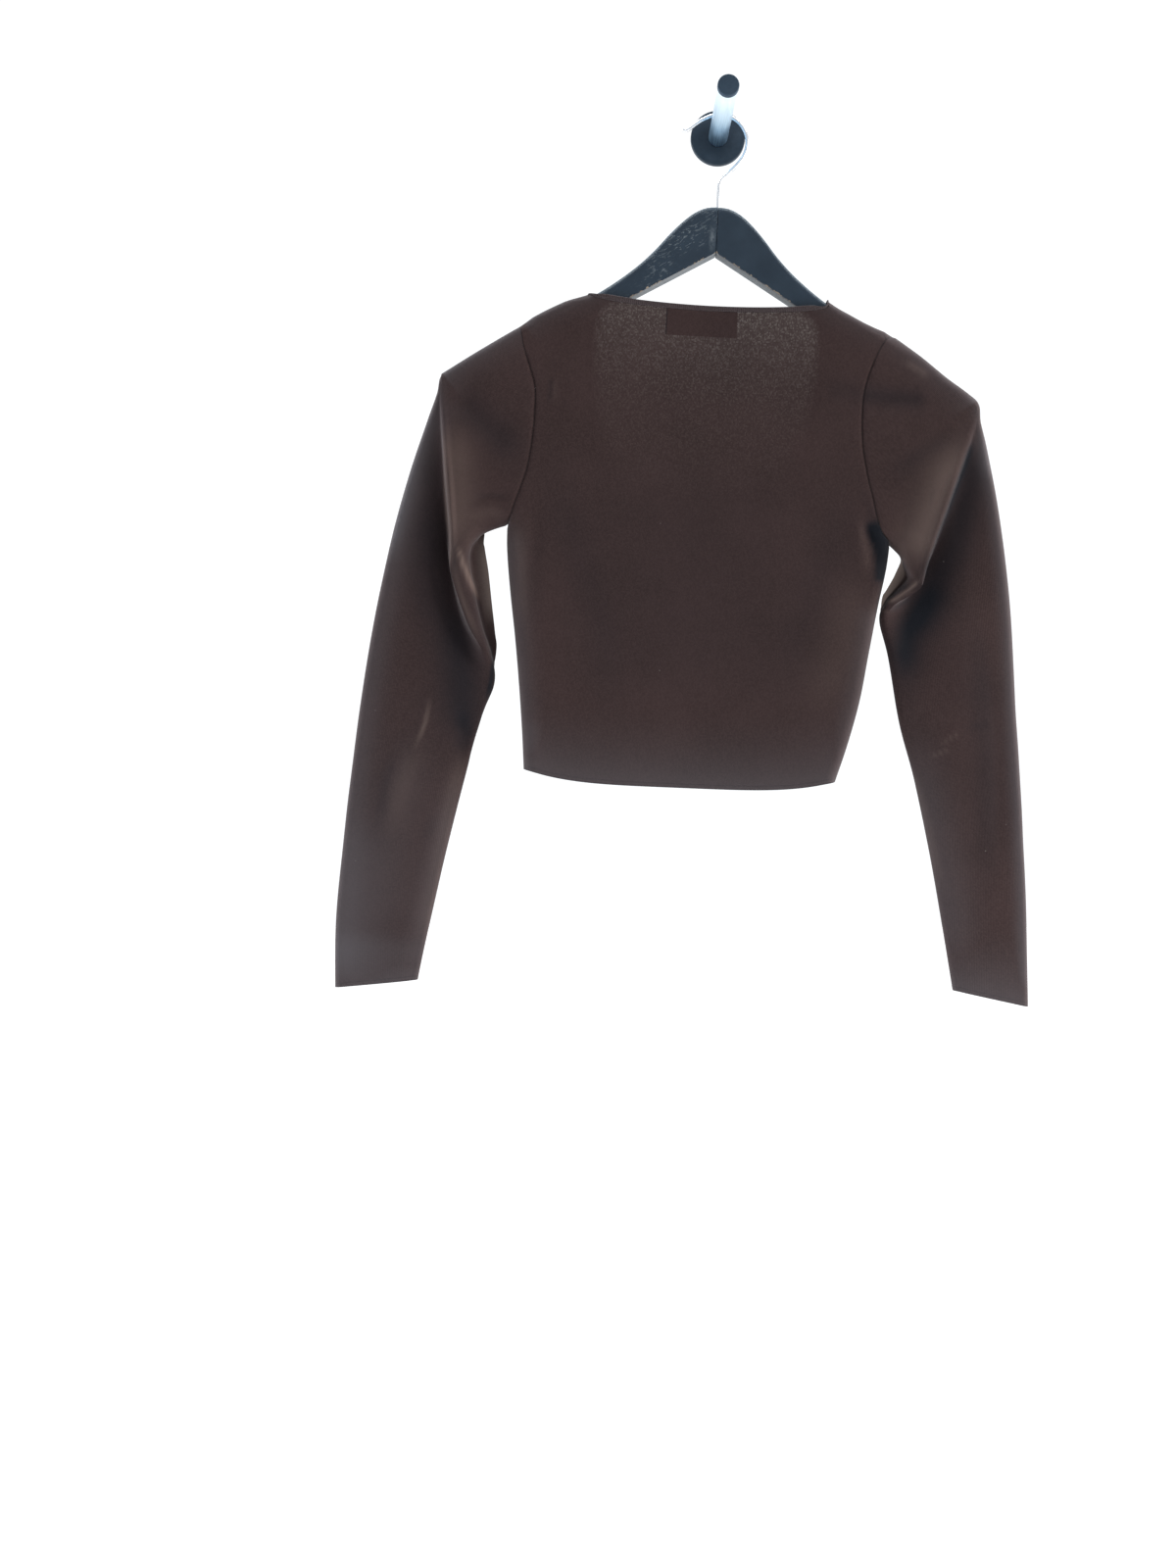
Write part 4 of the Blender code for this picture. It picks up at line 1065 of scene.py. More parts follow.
leftNearFolds = folds(
    ([(-210, 234), (-182, 253), (-156, 276)], 12, -2.4),
    ([(-203, 262), (-199, 300), (-196, 340)], 9, 0.7),
    ([(-190, 325), (-172, 320), (-155, 322)], 3.2, -0.9),
    ([(-190, 333), (-172, 329), (-158, 331)], 4, 0.7),
    ([(-212, 484), (-216, 512), (-225, 538), (-234, 562), (-240, 590)], 6.5, 1),
    ([(-238, 528), (-246, 560), (-249, 598)], 9, -0.9),
    ([(-192, 494), (-184, 516), (-187, 540)], 7, -2),
    ([(-196, 362), (-191, 380), (-184, 394), (-177, 405)], 2.2, 0.8),
    ([(-222, 560), (-216, 600), (-222, 650)], 12, -0.7),
    ([(-262, 590), (-262, 640), (-256, 690)], 11, 0.7),
    ([(-248, 508), (-224, 509)], 2.5, 0.4),
)
leftFarFolds = folds(
    ([(-196, 250), (-214, 300), (-222, 350)], 12, -2),
    ([(-186, 480), (-214, 520), (-240, 548)], 8, -1.9),
    ([(-200, 470), (-226, 496)], 6, 1.2),
    ([(-240, 590), (-246, 650)], 13, -1.1),
    ([(-170, 300), (-190, 332)], 7, -1.4),
)
rightNearFolds = folds(
    ([(213, 245), (200, 275), (192, 300), (186, 330)], 10, 0.9),
    ([(131, 229), (155, 220), (182, 221)], 8, -1.7),
    ([(160, 192), (181, 203)], 4.5, 0.9),
    ([(204, 247), (175, 266), (155, 287)], 10, -1.3),
    ([(186.5, 294), (186.2, 315)], 2.6, -0.6),
    ([(240, 440), (251, 477), (256, 520), (258, 566), (263, 602)], 8, -1.3),
    ([(270, 470), (272, 520), (276, 580)], 5, 0.6),
    ([(197, 515), (215, 506.5)], 1.8, 0.55),
    ([(205, 504.5), (222, 493)], 1.8, 0.5),
    ([(224, 489), (246, 485.5)], 4, -0.7),
    ([(186, 470), (196, 500), (206, 540)], 8, -0.7),
    ([(236, 610), (242, 680)], 13, -0.6),
)
rightFarFolds = folds(
    ([(200, 250), (212, 300), (216, 350)], 12, -1.8),
    ([(186, 470), (214, 500), (242, 514)], 8, -1.8),
    ([(198, 456), (226, 476)], 6, 1.1),
    ([(244, 580), (252, 650)], 13, -1),
    ([(160, 298), (182, 330)], 7, -1.3),
)

# painted shade where the cloth hangs double or turns from the light, painted highlights where it
# catches it, painted light along the edges and a painted glow where light comes through
backPaintedShade = folds(
    ([(138, 323), (142, 334), (147, 346), (149, 359), (148, 376)], (4, 20), 1.3, 0.16),
    ([(98, 216), (120, 219), (138, 222)], 9, 0.22, 0.2),
    ([(-122, 285), (-112, 330), (-97, 368), (-79, 412), (-71, 455), (-71, 503)], 15, 0.15),
    ([(126, 296), (112, 345), (97, 385), (85, 430), (76, 480)], 19, 0.14),
    ([(-8, 270), (-8, 490)], 92, 0.16),
    ([(-128.8, 219), (-128.8, 241)], 1.8, 0.3),
    ([(-133, 345), (-131, 420)], 7, 0.1),
)
backPaintedHighlight = folds(
    ([(-153, 335), (-147, 370), (-143, 430)], (4, 7), 0.2),
    ([(131, 325), (136, 345), (140, 368)], 2.6, 0.14),
    ([(134, 366), (121, 428), (103, 488)], 18, 0.12),
    ([(-124.5, 221), (-124.5, 240)], 1.6, 0.12),
)
leftPaintedShade = folds(
    ([(-217, 272), (-217, 303), (-214.5, 335), (-210.5, 367), (-203.5, 399), (-196, 430),
      (-189, 470), (-185.5, 501), (-184, 530)], (19, 15), 0.37, 0.16),
    ([(-201, 405), (-187, 465), (-182, 500), (-182, 534)], (26, 22), 0.36, 0.3),
    ([(-230, 320), (-229, 390), (-214, 440)], (14, 20), 0.3),
    ([(-210, 238), (-181, 262), (-148, 288)], 15, 0.42),
    ([(-199, 361), (-199.5, 373), (-196, 388)], 1.4, 0.4, 0.2),
    ([(-188, 496), (-182, 515), (-186, 537)], (8, 6), 0.3),
    ([(-239, 534), (-246, 562), (-248, 598)], (7, 4), 0.26),
    ([(-199, 583), (-214, 607)], 6, 0.18),
    ([(-190, 323), (-172, 319.5), (-157, 321)], 2.4, 0.22),
    ([(-178, 404), (-173.5, 416), (-169.6, 427), (-166.3, 441), (-164, 454), (-165, 471),
      (-168, 488)], (1.5, 3.5), 0.75, 0.14),
)
leftPaintedHighlight = folds(
    ([(-213, 488), (-216, 510), (-223, 530)], 1.8, 0.48, 0.45),
    ([(-222, 524), (-233, 562), (-240, 606)], (7, 10), 0.17, 0.4),
    ([(-212.5, 266), (-211.2, 284), (-210.2, 318), (-208, 338), (-203, 363), (-201, 380),
      (-196, 396), (-187, 416), (-176, 440)], (1.2, 2.6), 0.34, 0.12),
    ([(-208, 262), (-205, 300), (-202, 340), (-198, 372)], (4, 17), 0.38),
    ([(-197, 363), (-192.5, 378), (-185.5, 393), (-179, 405)], 1.6, 0.8, 0.2),
    ([(-192, 372), (-187, 384), (-180, 400)], 5, 0.22, 0.3),
    ([(-190, 340), (-172, 333), (-158, 336)], 5, 0.14, 0.3),
    ([(-182, 529), (-190, 570), (-199.5, 631), (-208, 690)], (7, 2.5), 0.3, 0.2),
)
leftGlow = folds(([(-175, 350), (-171, 374), (-167, 396), (-162, 424)], (9, 6), 0.55))
leftPaintedEdgeLight = folds(
    ([(-157, 173), (-179, 188), (-200, 203), (-221, 218)], 7, 1, 0.02),
    ([(-157, 175), (-179, 190), (-200, 205), (-219, 222)], 17, 0.34, 0.02),
    ([(-221, 216), (-227, 242), (-236, 278), (-247, 330), (-256, 380)], 8, 0.75, 0.2),
    ([(-(row.out - 3), row.drop) for row in leftSleeveRows[4:]], (7, 14), 0.36, 0.06),
    ([(-185, 545), (-201, 630), (-215, 724)], (12, 6), 0.26, 0.3),
    ([(-222, 510), (-232, 590), (-243, 700)], 26, 0.16, 0.3),
    ([(-260, 580), (-264, 740)], 20, 0.25, 0.3),
    ([(-246, 680), (-247, 740)], 56, 0.3, 0.3),
)
rightPaintedShade = folds(
    ([(225, 252), (219, 292), (213, 322), (208, 343), (199, 364), (193, 377), (184, 396),
      (177, 410), (174, 428), (176, 456)], (13, 17), 0.66, 0.13),
    ([(208, 372), (197, 396), (188, 422)], 15, 0.22, 0.3),
    ([(200, 366), (186, 394), (176, 412), (173, 430), (178, 474)], (12, 14), 0.3),
    ([(173, 364), (165, 371), (159, 380), (155, 387)], 1.3, 0.75, 0.2),
    ([(122, 221), (150, 221), (182, 223)], 9, 0.48, 0.2),
    ([(204, 250), (175, 269), (152, 288)], 8, 0.24),
    ([(229, 400), (239, 454), (246, 505), (250, 560), (252, 618)], (15, 9), 0.36),
    ([(219.5, 252), (201.5, 310), (188, 352), (184.5, 370)], (3, 4), 0.72, 0.1),
    ([(225, 489), (245, 485.5)], 2.6, 0.18),
    ([(175, 374), (165, 381), (158, 388)], (2.4, 2.2), 0.62),
    ([(178, 383), (169, 389), (160, 396)], 2.6, 0.42),
    ([(186.4, 296), (186.3, 314)], 1.6, 0.2),
)
rightPaintedHighlight = folds(
    ([(212, 250), (202, 281), (195, 304), (187, 334), (180, 362)], (12, 4), 0.34, 0.3),
    ([(209, 256), (195, 290), (184, 325), (174, 362)], (19, 7), 0.28),
    ([(180, 330), (172, 350)], 14, 0.12),
    ([(165, 350), (161, 362), (156, 374), (151, 388)], (7, 5), 0.85, 0.1),
    ([(160, 192), (181, 203)], 3, 0.34),
    ([(197, 515), (215, 506.5)], 1.3, 0.22),
    ([(205, 504.5), (222, 493)], 1.3, 0.2),
    ([(181, 371), (173, 379.5), (164, 386.5), (157, 391)], 1.4, 0.75, 0.2),
    ([(152, 396), (158, 397)], 1.6, 0.3),
    ([(187, 524), (200, 566), (216, 624)], (4, 3), 0.22),
)
rightGlow = folds(([(164, 346), (159, 360), (153, 376), (148, 392)], (9, 12), 0.85, 0.1))
rightPaintedEdgeLight = folds(
    ([(151, 162), (173, 177), (196, 195), (214, 207), (225, 218)], 7, 1, 0.02),
    ([(151, 164), (173, 179), (196, 197), (214, 209), (223, 220)], 17, 0.34, 0.02),
    ([(row.out - 1, row.drop) for row in rightSleeveRows[4:]], (8, 9), 0.56, 0.06),
    ([(224, 216), (231, 245), (238, 285)], 7, 0.6, 0.2),
    ([(178, 490), (193, 545), (214, 620), (233, 708)], (7, 22), 0.31, 0.3),
)
shoulderPaintedEdgeLight = folds(
    ([(-row.out, row.left - 6) for row in shoulderRows], (9, 6.5), 0.85, 0.02),
    ([(-row.out, row.left - 5) for row in shoulderRows], 16, 0.27, 0.02),
    ([(row.out, row.right - 6) for row in shoulderRows], (6.5, 9), 0.85, 0.02),
    ([(row.out, row.right - 5) for row in shoulderRows], 16, 0.27, 0.02),
)
bodyPaintedEdgeLight = folds(
    ([(-(row.left - 3), between(341, 542, row.share)) for row in sideRows], (7, 11), 0.28, 0.1),
    ([(row.right - 3, between(340, 539, row.share)) for row in sideRows[2:]], (11, 7), 0.3, 0.1),
    ([(-126, 500), (-128, 545)], 12, 0.16),
) + shoulderPaintedEdgeLight

knit = knitMaterial("fineKnitBrown")
knitSheer = knitMaterial("fineKnitBack", ribWidth=0.001, sheer=paintedLightThroughNeck)
loops = (armholeLoop(-1), armholeLoop(1))
backSheet, backNeckEdge = backPanelSheet(loops)
frontSheet, frontNeckEdge = frontPanelSheet(loops)
backPanel = clothShell("backPanel", backSheet, knitSheer, 1.3, backFolds,
                       paintedShade=backPaintedShade, paintedHighlight=backPaintedHighlight, veil=bodyPaintedEdgeLight)
frontPanel = clothShell("frontPanel", frontSheet, knit, 2.7, farFolds=frontFolds,
                        veil=bodyPaintedEdgeLight)
print("body panels made")
sleeveLeft = clothShell("sleeveLeft", sleeveSheet(-1, leftSleeveRows, loops[0]), knit, 4.1,
                        leftNearFolds, leftFarFolds, leftPaintedShade, leftPaintedHighlight, leftPaintedEdgeLight, leftGlow)
sleeveRight = clothShell("sleeveRight", sleeveSheet(1, rightSleeveRows, loops[1]), knit, 6.6,
                         rightNearFolds, rightFarFolds, rightPaintedShade, rightPaintedHighlight, rightPaintedEdgeLight,
                         rightGlow)
print("sleeves made")

# sizes of the neckband, the label and the linking stitches
band = {
    "height": 4.7,
    "thick": 2,
    "roll": 0.35,                   # the free edge is rolled a little thicker
    "lift": 0.04,
    "lowOverArm": {-1: 0.85, 1: 0.8},       # share of its height it loses over each arm
    "lowLength": 9,
    "offWood": 1.3,
    "step": 2.2,
    "smoothing": 4,
}
labelSize = {"left": -36.5, "right": 24, "top": 162, "height": 19, "thick": 0.6}
stitch = {
    "spacing": 1.6,
    "length": 0.5,
    "width": 0.22,
    "skipped": 0.45,                # share of the linking stitches that don't show
    "beside": ((-66, -36), (22, 62)),       # where they show, on either side of the label
}


def evenly(points, step):
    # the same closed line with its points spread evenly
    whole = points + points[:1]
    spots = [0]
    for a, b in zip(whole, whole[1:]):
        spots.append(spots[-1] + (b[0] - a[0]).length)
    count = round(spots[-1] / step)
    made, i = [], 0
    for k in range(count):
        goal = spots[-1] * k / count
        while spots[i + 1] < goal:
            i += 1
        share = (goal - spots[i]) / max(spots[i + 1] - spots[i], 1e-6)
        made.append((whole[i][0].lerp(whole[i + 1][0], share),
                     whole[i][1].lerp(whole[i + 1][1], share).normalized()))
    return made


def withNeighbours(line):
    return zip(line[-1:] + line[:-1], line, line[1:] + line[:1])


def neckStations():
    stations = []
    for sheet, edge in ((backSheet, backNeckEdge[:-1]), (frontSheet, frontNeckEdge[:0:-1])):
        normals = sheet.normals()
        stations += [(sheet.points[i], normals[i]) for i in edge]
    stations = evenly(stations, band["step"])
    for _ in range(band["smoothing"]):
        stations = [(b[0] * 0.6 + (a[0] + c[0]) * 0.2, (b[1] + a[1] + c[1]).normalized())
                    for a, b, c in withNeighbours(stations)]
    return stations


def makeNeckband(stations, material):
    aways = [b[1].cross(c[0] - a[0]).normalized() for a, b, c in withNeighbours(stations)]
    for _ in range(6):
        aways = [(a + b + c).normalized() for a, b, c in withNeighbours(aways)]
    half = band["thick"] / 2
    section = [(cos(t) * (half + band["roll"]), band["height"] - half + sin(t) * half)
               for t in turns(6, 180)]
    section += [(-cos(t) * half * 0.92, 0.7 - sin(t) * 0.6) for t in turns(4, 180)]
    rings = []
    for (at, normal), away in zip(stations, aways):
        tall = 1
        for side, share in band["lowOverArm"].items():
            tall -= share * exp(-((at.x - body["neck"][side]) / band["lowLength"]) ** 2)
        low = at + away * band["lift"]
        low += offArm(low - normal * half, band["offWood"])
        high = low + away * band["height"] * tall
        lift = offArm(high - normal * half, band["offWood"])
        rings.append([swung(low + away * up * tall + normal * out
                            + lift * clamp(up / band["height"])) for out, up in section])
    return loft("neckband", rings, material, closed=True, smoothBelow=60)


def makeLabel(material):
    # bare woven tape, a little wavy; its material marks the ends as folded under
    sheet = Sheet()
    off = body["cloth"] / 2 + 0.3 + labelSize["thick"] / 2
    rows, uvs = [], []
    across, down = 48, 14
    for j in range(down + 1):
        drop = labelSize["top"] + labelSize["height"] * (1 - j / down)
        spots = [between(labelSize["left"], labelSize["right"], i / across)
                 for i in range(across + 1)]
        rows.append([])
        for x in spots:
            wave = (0.45 + 0.4 * sin(x / 6 + 1)) * (1 - j / down) ** 2
            y = middle(x) + offMiddle(-1, drop) + off + wave
            rows[-1].append(sheet.add(Vector((x, y, -drop))))
        uvs.append([(x * mm, -drop * mm) for x in spots])
    sheet.addGrid(rows, uvs)
    return thicken("label", sheet, sheet.points, sheet.normals(), labelSize["thick"], material)


def stitchTree():
    # small stitches spread along a line, a few of them left out
    tree, (line, spacing, length, width, skipped, seed, thread), result = newGroup(
        "Geometry", "linkingStitches",
        (("Geometry", "Geometry"), ("Spacing", "Float", stitch["spacing"] * mm),
         ("Length", "Float", stitch["length"] * mm), ("Width", "Float", stitch["width"] * mm),
         ("Skipped", "Float", stitch["skipped"]), ("Seed", "Int", 3), ("Thread", "Material")),
        (("Geometry", "Geometry"),))
    curve = add(tree, "GeometryNodeMeshToCurve", {0: line})
    points, tangent = add(tree, "GeometryNodeCurveToPoints", {"Curve": curve, "Length": spacing},
                          ("Points", "Tangent"), mode="LENGTH")
    chance = add(tree, "FunctionNodeRandomValue", {"Seed": seed}, 1, data_type="FLOAT")
    laid = add(tree, "GeometryNodeInstanceOnPoints", {
        "Points": points,
        "Selection": add(tree, "FunctionNodeCompare", {0: chance, 1: skipped},
                         data_type="FLOAT", operation="GREATER_THAN"),
        "Instance": add(tree, "GeometryNodeMeshUVSphere",
                        {"Segments": 6, "Rings": 4, "Radius": 1}),
        "Rotation": add(tree, "FunctionNodeAlignEulerToVector", {"Vector": tangent}, axis="Z"),
        "Scale": add(tree, "CombineXYZ", {0: width, 1: width, 2: length}),
    })
    real = add(tree, "GeometryNodeRealizeInstances", {0: laid})
    feedAll(result, {0: add(tree, "GeometryNodeSetMaterial", {0: real, "Material": thread})})
    return tree


def stitchLine(name, tree, lines, values):
    # lays the stitches along lines of points and keeps them as one plain mesh
    mesh = bpy.data.meshes.new(name + "Line")
    points, edges = [], []
    for line in lines:
        first = len(points)
        points += [tuple(swung(p)) for p in line]
        edges += [(i, i + 1) for i in range(first, len(points) - 1)]
    mesh.from_pydata(points, edges, [])
    guide = addObject(name + "Line", mesh)
    sewing = guide.modifiers.new("Stitches", "NODES")
    sewing.node_group = tree
    for item in tree.interface.items_tree:
        if item.in_out == "INPUT" and item.name in values:
            sewing[item.identifier] = values[item.name]
    bpy.context.view_layer.update()
    graph = bpy.context.evaluated_depsgraph_get()
    made = bpy.data.meshes.new_from_object(guide.evaluated_get(graph))
    made.name = name
    bpy.data.objects.remove(guide, do_unlink=True)
    made.shade_smooth()
    return addObject(name, made)


def bandMaterial():
    # ribs run across the band's edge, round its rolled top
    material, tree = newMaterial("rolledNeckEdge")
    ribs, groove, _ = knitted(tree, 0.0017, 0.0012)
    cloud, _, _ = dyed(objectPlace(tree))
    tint = cloud.mix((0.05, 0.037, 0.039, 1), (0.07, 0.051, 0.053, 1))
    # its rib grooves get painted shade
    return shade(material, {
        "Base Color": (groove * 0.7).mix(tint, (0.014, 0.01, 0.011, 1)),
        "Roughness": 0.85,
        "Specular IOR Level": 0.15,
        "Sheen Weight": 0.1,
    }, ribs, 0.9, 0.00035)


def threadMaterial():
    # its pale colour is painted light coming through the knit at the linking
    material, tree = newMaterial("paleLinking")
    share = speckle(objectPlace(tree), 55, 2).ramp((0.42, 0), (0.58, 1))
    tint = share.mix((0.035, 0.026, 0.025, 1), (0.2, 0.175, 0.165, 1))
    return shade(material, {"Base Color": tint, "Roughness": 0.75})


def labelMaterial():
    material, tree = newMaterial("wovenTape")
    uv = uvMap(tree, "cloth")
    weft, warp = (add(tree, "TexWave", {"Vector": uv, "Scale": scale, "Distortion": 0}, "Fac",
                      bands_direction=way) for scale, way in ((900, "Y"), (700, "X")))
    weave = weft * warp
    centre = (labelSize["left"] + labelSize["right"]) / 2 * mm
    half = (labelSize["right"] - labelSize["left"]) / 2 * mm
    foldedUnder = abs(uv.xyz()[0] - centre) > half - 0.004
    tint = weave.mix((0.011, 0.009, 0.009, 1), (0.03, 0.026, 0.025, 1))
    return shade(material, {
        "Base Color": (foldedUnder * 0.4).mix(tint, (0.045, 0.04, 0.038, 1)),
        "Roughness": 0.55,
        "Sheen Weight": 0.1,
    }, weave, 0.5, 0.0001)


neckLine = neckStations()
neckband = makeNeckband(neckLine, bandMaterial())
label = makeLabel(labelMaterial())
backLine = sorted((p + n * 0.85 for p, n in neckLine if p.y < middle(p.x) - 3),
                  key=lambda p: p.x)
beside = [[p for p in backLine if low < p.x < high] for low, high in stitch["beside"]]
neckStitches = stitchLine("neckStitches", stitchTree(), beside, {"Thread": threadMaterial()})
print("neckband, label and linking made")


# sizes of the peg and of the hanger's hook
peg = {"plate": 23, "plateThick": 4, "tube": 8.1, "tubeEnd": 94, "wall": 1.5,
       "cap": 8.6, "capRim": 4, "seat": 0.3, "soft": 0.8}
hook = {"wire": 1.5, "bend": 23.2, "sides": 20}


def lathe(name, profile, material, steps=96):
    shape = bmesh.new()
    rings = []
    for radius, away in profile:
        around = [2 * pi * i / steps for i in range(steps if radius else 1)]
        rings.append([shape.verts.new((radius * cos(a) * mm, -away * mm, radius * sin(a) * mm))
                      for a in around])
    for first, second in zip(rings, rings[1:] + rings[:1]):
        for i in range(steps):
            j = (i + 1) % steps
            corners = [first[i % len(first)], first[j % len(first)],
                       second[j % len(second)], second[i % len(second)]]
            face = list(dict.fromkeys(corners))
            if len(face) > 2:
                shape.faces.new(face)
    bmesh.ops.recalc_face_normals(shape, faces=shape.faces)
    return addMesh(name, shape, material, 40)


def roundedCorner(radius, away, soft):
    # an outer corner of a lathe profile, from the side face round to the end face
    return [(radius - soft * (1 - cos(turn)), away - soft + soft * sin(turn))
            for turn in turns(5)]


def plasticMaterial(name, dark, light, paintedShadowTo=0):
    material, tree = newMaterial(name)
    place = objectPlace(tree)
    dust = speckle(place, 90, 4)
    tint = dust.ramp((0.4, 0), (0.72, 1)).mix(dark, light)
    if paintedShadowTo:                    # a painted shadow round the foot of the tube, darker and without dust
        flat = add(tree, "VectorMath", {0: place, 1: (1, 0, 1)}, operation="MULTIPLY")
        foot = add(tree, "VectorMath", {0: flat}, "Value", operation="LENGTH")
        tint = (foot / paintedShadowTo).ramp((0.45, 0.75), (1, 0)).mix(tint, (0.01, 0.016, 0.024, 1))
    return shade(material, {
        "Base Color": tint,
        "Roughness": dust.mix(grey(0.38), grey(0.55)),
        "Specular IOR Level": 0.15,
    }, speckle(place, 1400, 2), 0.25, 0.0001)


def brushedMaterial():
    # brushed along the tube, with a painted highlight that grows away from the wall
    material, tree = newMaterial("brushedTube")
    place = objectPlace(tree)
    streaks = speckle(mapped(place, {"Scale": (1, 0.02, 1)}), 1600, 3)
    tint = streaks.ramp((0.35, 0), (0.65, 1)).mix((0.2, 0.34, 0.5, 1), (0.38, 0.57, 0.74, 1))
    endHighlight = (place.xyz()[1] * -10).ramp((0.34, 0), (0.85, 1))
    return shade(material, {
        "Base Color": endHighlight.mix(tint, (0.8, 0.94, 1, 1)),
        "Roughness": streaks.mix(grey(0.24), grey(0.42)),
        "Metallic": 1,
    }, streaks, 0.25, 0.00008)


def wireMaterial():
    material, tree = newMaterial("brightWire")
    drawn = speckle(mapped(uvMap(tree, "cloth"), {"Scale": (40, 1500, 1)}), 1, 2)
    return shade(material, {
        "Base Color": drawn.mix((0.42, 0.44, 0.47, 1), (0.7, 0.72, 0.75, 1)),
        "Roughness": drawn.mix(grey(0.12), grey(0.26)),
        "Metallic": 1,
    })


woodLook = {
    "paint": (0.018, 0.0298, 0.0455, 1),
    "paintLight": (0.027, 0.043, 0.063, 1),
    "chip": (0.15, 0.18, 0.205, 1),
    "bareEdge": (0.3, 0.24, 0.185, 1),
    "under": (0.2, 0.205, 0.215, 1),
    "underRight": (0.105, 0.105, 0.11, 1),
    "rounded": (0.075, 0.12, 0.15, 1),
}


def woodMaterial():
    # black paint, chipped near the joint on the left and worn off along the lower edges
    material, tree = newMaterial("chippedBlackPaint")
    level = levelled(objectPlace(tree))
    across, _, height = level.xyz()
    out = abs(across - hang["armCentre"] * mm)
    above = out * hang["armEdge"][1] + hang["armEdge"][0] * mm + height
    broad = speckle(level, 34, 3)
    ragged = speckle(level, 260, 4, 0.65)
    slant = mapped(level, {"Rotation": (0, radians(-33), 0), "Scale": (2.8, 1, 0.75)},
                   vector_type="TEXTURE")
    leftHalf = across < 0.0025
    patch = broad.ramp((0.44, 0), (0.56, 1)) * (out * 10).ramp((0.28, 1), (0.62, 0.35))
    chips = speckle(slant, 560, 4, 0.6).ramp((0.565, 0), (0.6, 1)) * patch * leftHalf
    jointX = (1 - abs(across + 0.002) / 0.0032).limited()
    jointZ = (1 - abs(height + 0.0946) / 0.013).limited()
    bare = jointX * jointZ * ragged.ramp((0.4, 0.2), (0.56, 1))
    worn = above + (ragged - 0.5) * 0.009 < 0.0004
    primer = leftHalf.mix(woodLook["underRight"], woodLook["under"])
    # a painted highlight where the surface turns from view
    rounded = add(tree, "LayerWeight", {"Blend": 0.5}, "Facing").ramp((0.35, 0), (1, 0.6))
    paint = broad.ramp((0.35, 0), (0.7, 1)).mix(woodLook["paint"], woodLook["paintLight"])
    for share, colour in ((chips * 0.85, woodLook["chip"]), (bare, woodLook["chip"]),
                          (worn, woodLook["bareEdge"]), ((above < 0.00045) * 0.9, primer),
                          (rounded, woodLook["rounded"])):
        paint = share.mix(paint, colour)
    return shade(material, {
        "Base Color": paint,
        "Roughness": chips.mix(grey(0.42), grey(0.8)),
        "Specular IOR Level": 0.2,
    }, chips * -1 + ragged * 0.3, 0.5, 0.00018)


def armSection(side, out, inset):
    x = hang["armCentre"] + side * out
    y = hang["hookDepth"] - hang["sweep"] * out
    half = hang["armHalf"] - inset
    crown = armTop(x) + inset + half
    soft = 0.8
    low = armBottom(out) - inset - soft
    ring = [(x, y - half * cos(turn), -(crown - half * sin(turn))) for turn in turns(16, 180)]
    for way, quarterTurn in ((1, turns(3)), (-1, turns(3)[::-1])):
        ring += [(x, y + way * (half - soft + soft * cos(turn)), -(low + soft * sin(turn)))
                 for turn in quarterTurn]
    return ring


def makeArm(name, side, material):
    end = hang["armLength"]
    stations = [(peg["seat"] / 2, 0.35), (peg["seat"] / 2 + 0.35, 0)]
    stations += [(out / 2, 0) for out in range(4, 428, 7)]
    stations += [(end - 6 * (1 - sin(turn)), 6 * (1 - cos(turn)) * 0.6)
                 for turn in turns(9)[1:]]
    rings = [[swung(p) for p in armSection(side, *station)] for station in sorted(stations)]
    return loft(name, rings, material, smoothBelow=35)


def hookRoute():
    centre = peg["tube"] + peg["seat"] + hook["wire"] - hook["bend"]
    stem = hang["armCentre"]
    route = [(stem, -90), (stem, -80), (stem, -70), (stem, -60), (stem, -53),
             (stem + 0.1, -48.5), (stem + 1.2, -44.8), (stem + 4.2, -41.3), (10, -37),
             (14.6, -32.4)]
    for angle in range(-36, 121, 12):
        turn = radians(angle)
        route.append((hook["bend"] * cos(turn), centre + hook["bend"] * sin(turn)))
    route += [(-17.2, 3.6), (-22.3, -0.6), (-26, -3.6), (-28.4, -4.9), (-30.2, -4.6),
              (-31, -3.2)]
    return [Vector((x, hang["hookDepth"], z)) for x, z in route]


def makeHook(material):
    route = hookRoute()
    ends = [route[0]] + route + [route[-1]]
    fine = [splineStep(*four, k / 4) for four in zip(ends, ends[1:], ends[2:], ends[3:])
            for k in range(4)] + route[-1:]
    thin = {len(fine) - 1: 0.55, len(fine) - 2: 0.92}
    rings = []
    for i, at in enumerate(fine):
        along = (fine[min(i + 1, len(fine) - 1)] - fine[max(i - 1, 0)]).normalized()
        across = along.cross(Vector((0, 1, 0))).normalized()
        radius = hook["wire"] * thin.get(i, 1)
        around = [2 * pi * k / hook["sides"] for k in range(hook["sides"])]
        rings.append([swung(at + (across * cos(t) + Vector((0, sin(t), 0))) * radius)
                      for t in around])
    return loft("hangerHook", rings, material, smoothBelow=50)


platePlastic = plasticMaterial("satinPlastic", (0.021, 0.034, 0.05, 1),
                               (0.033, 0.049, 0.069, 1), paintedShadowTo=0.019)
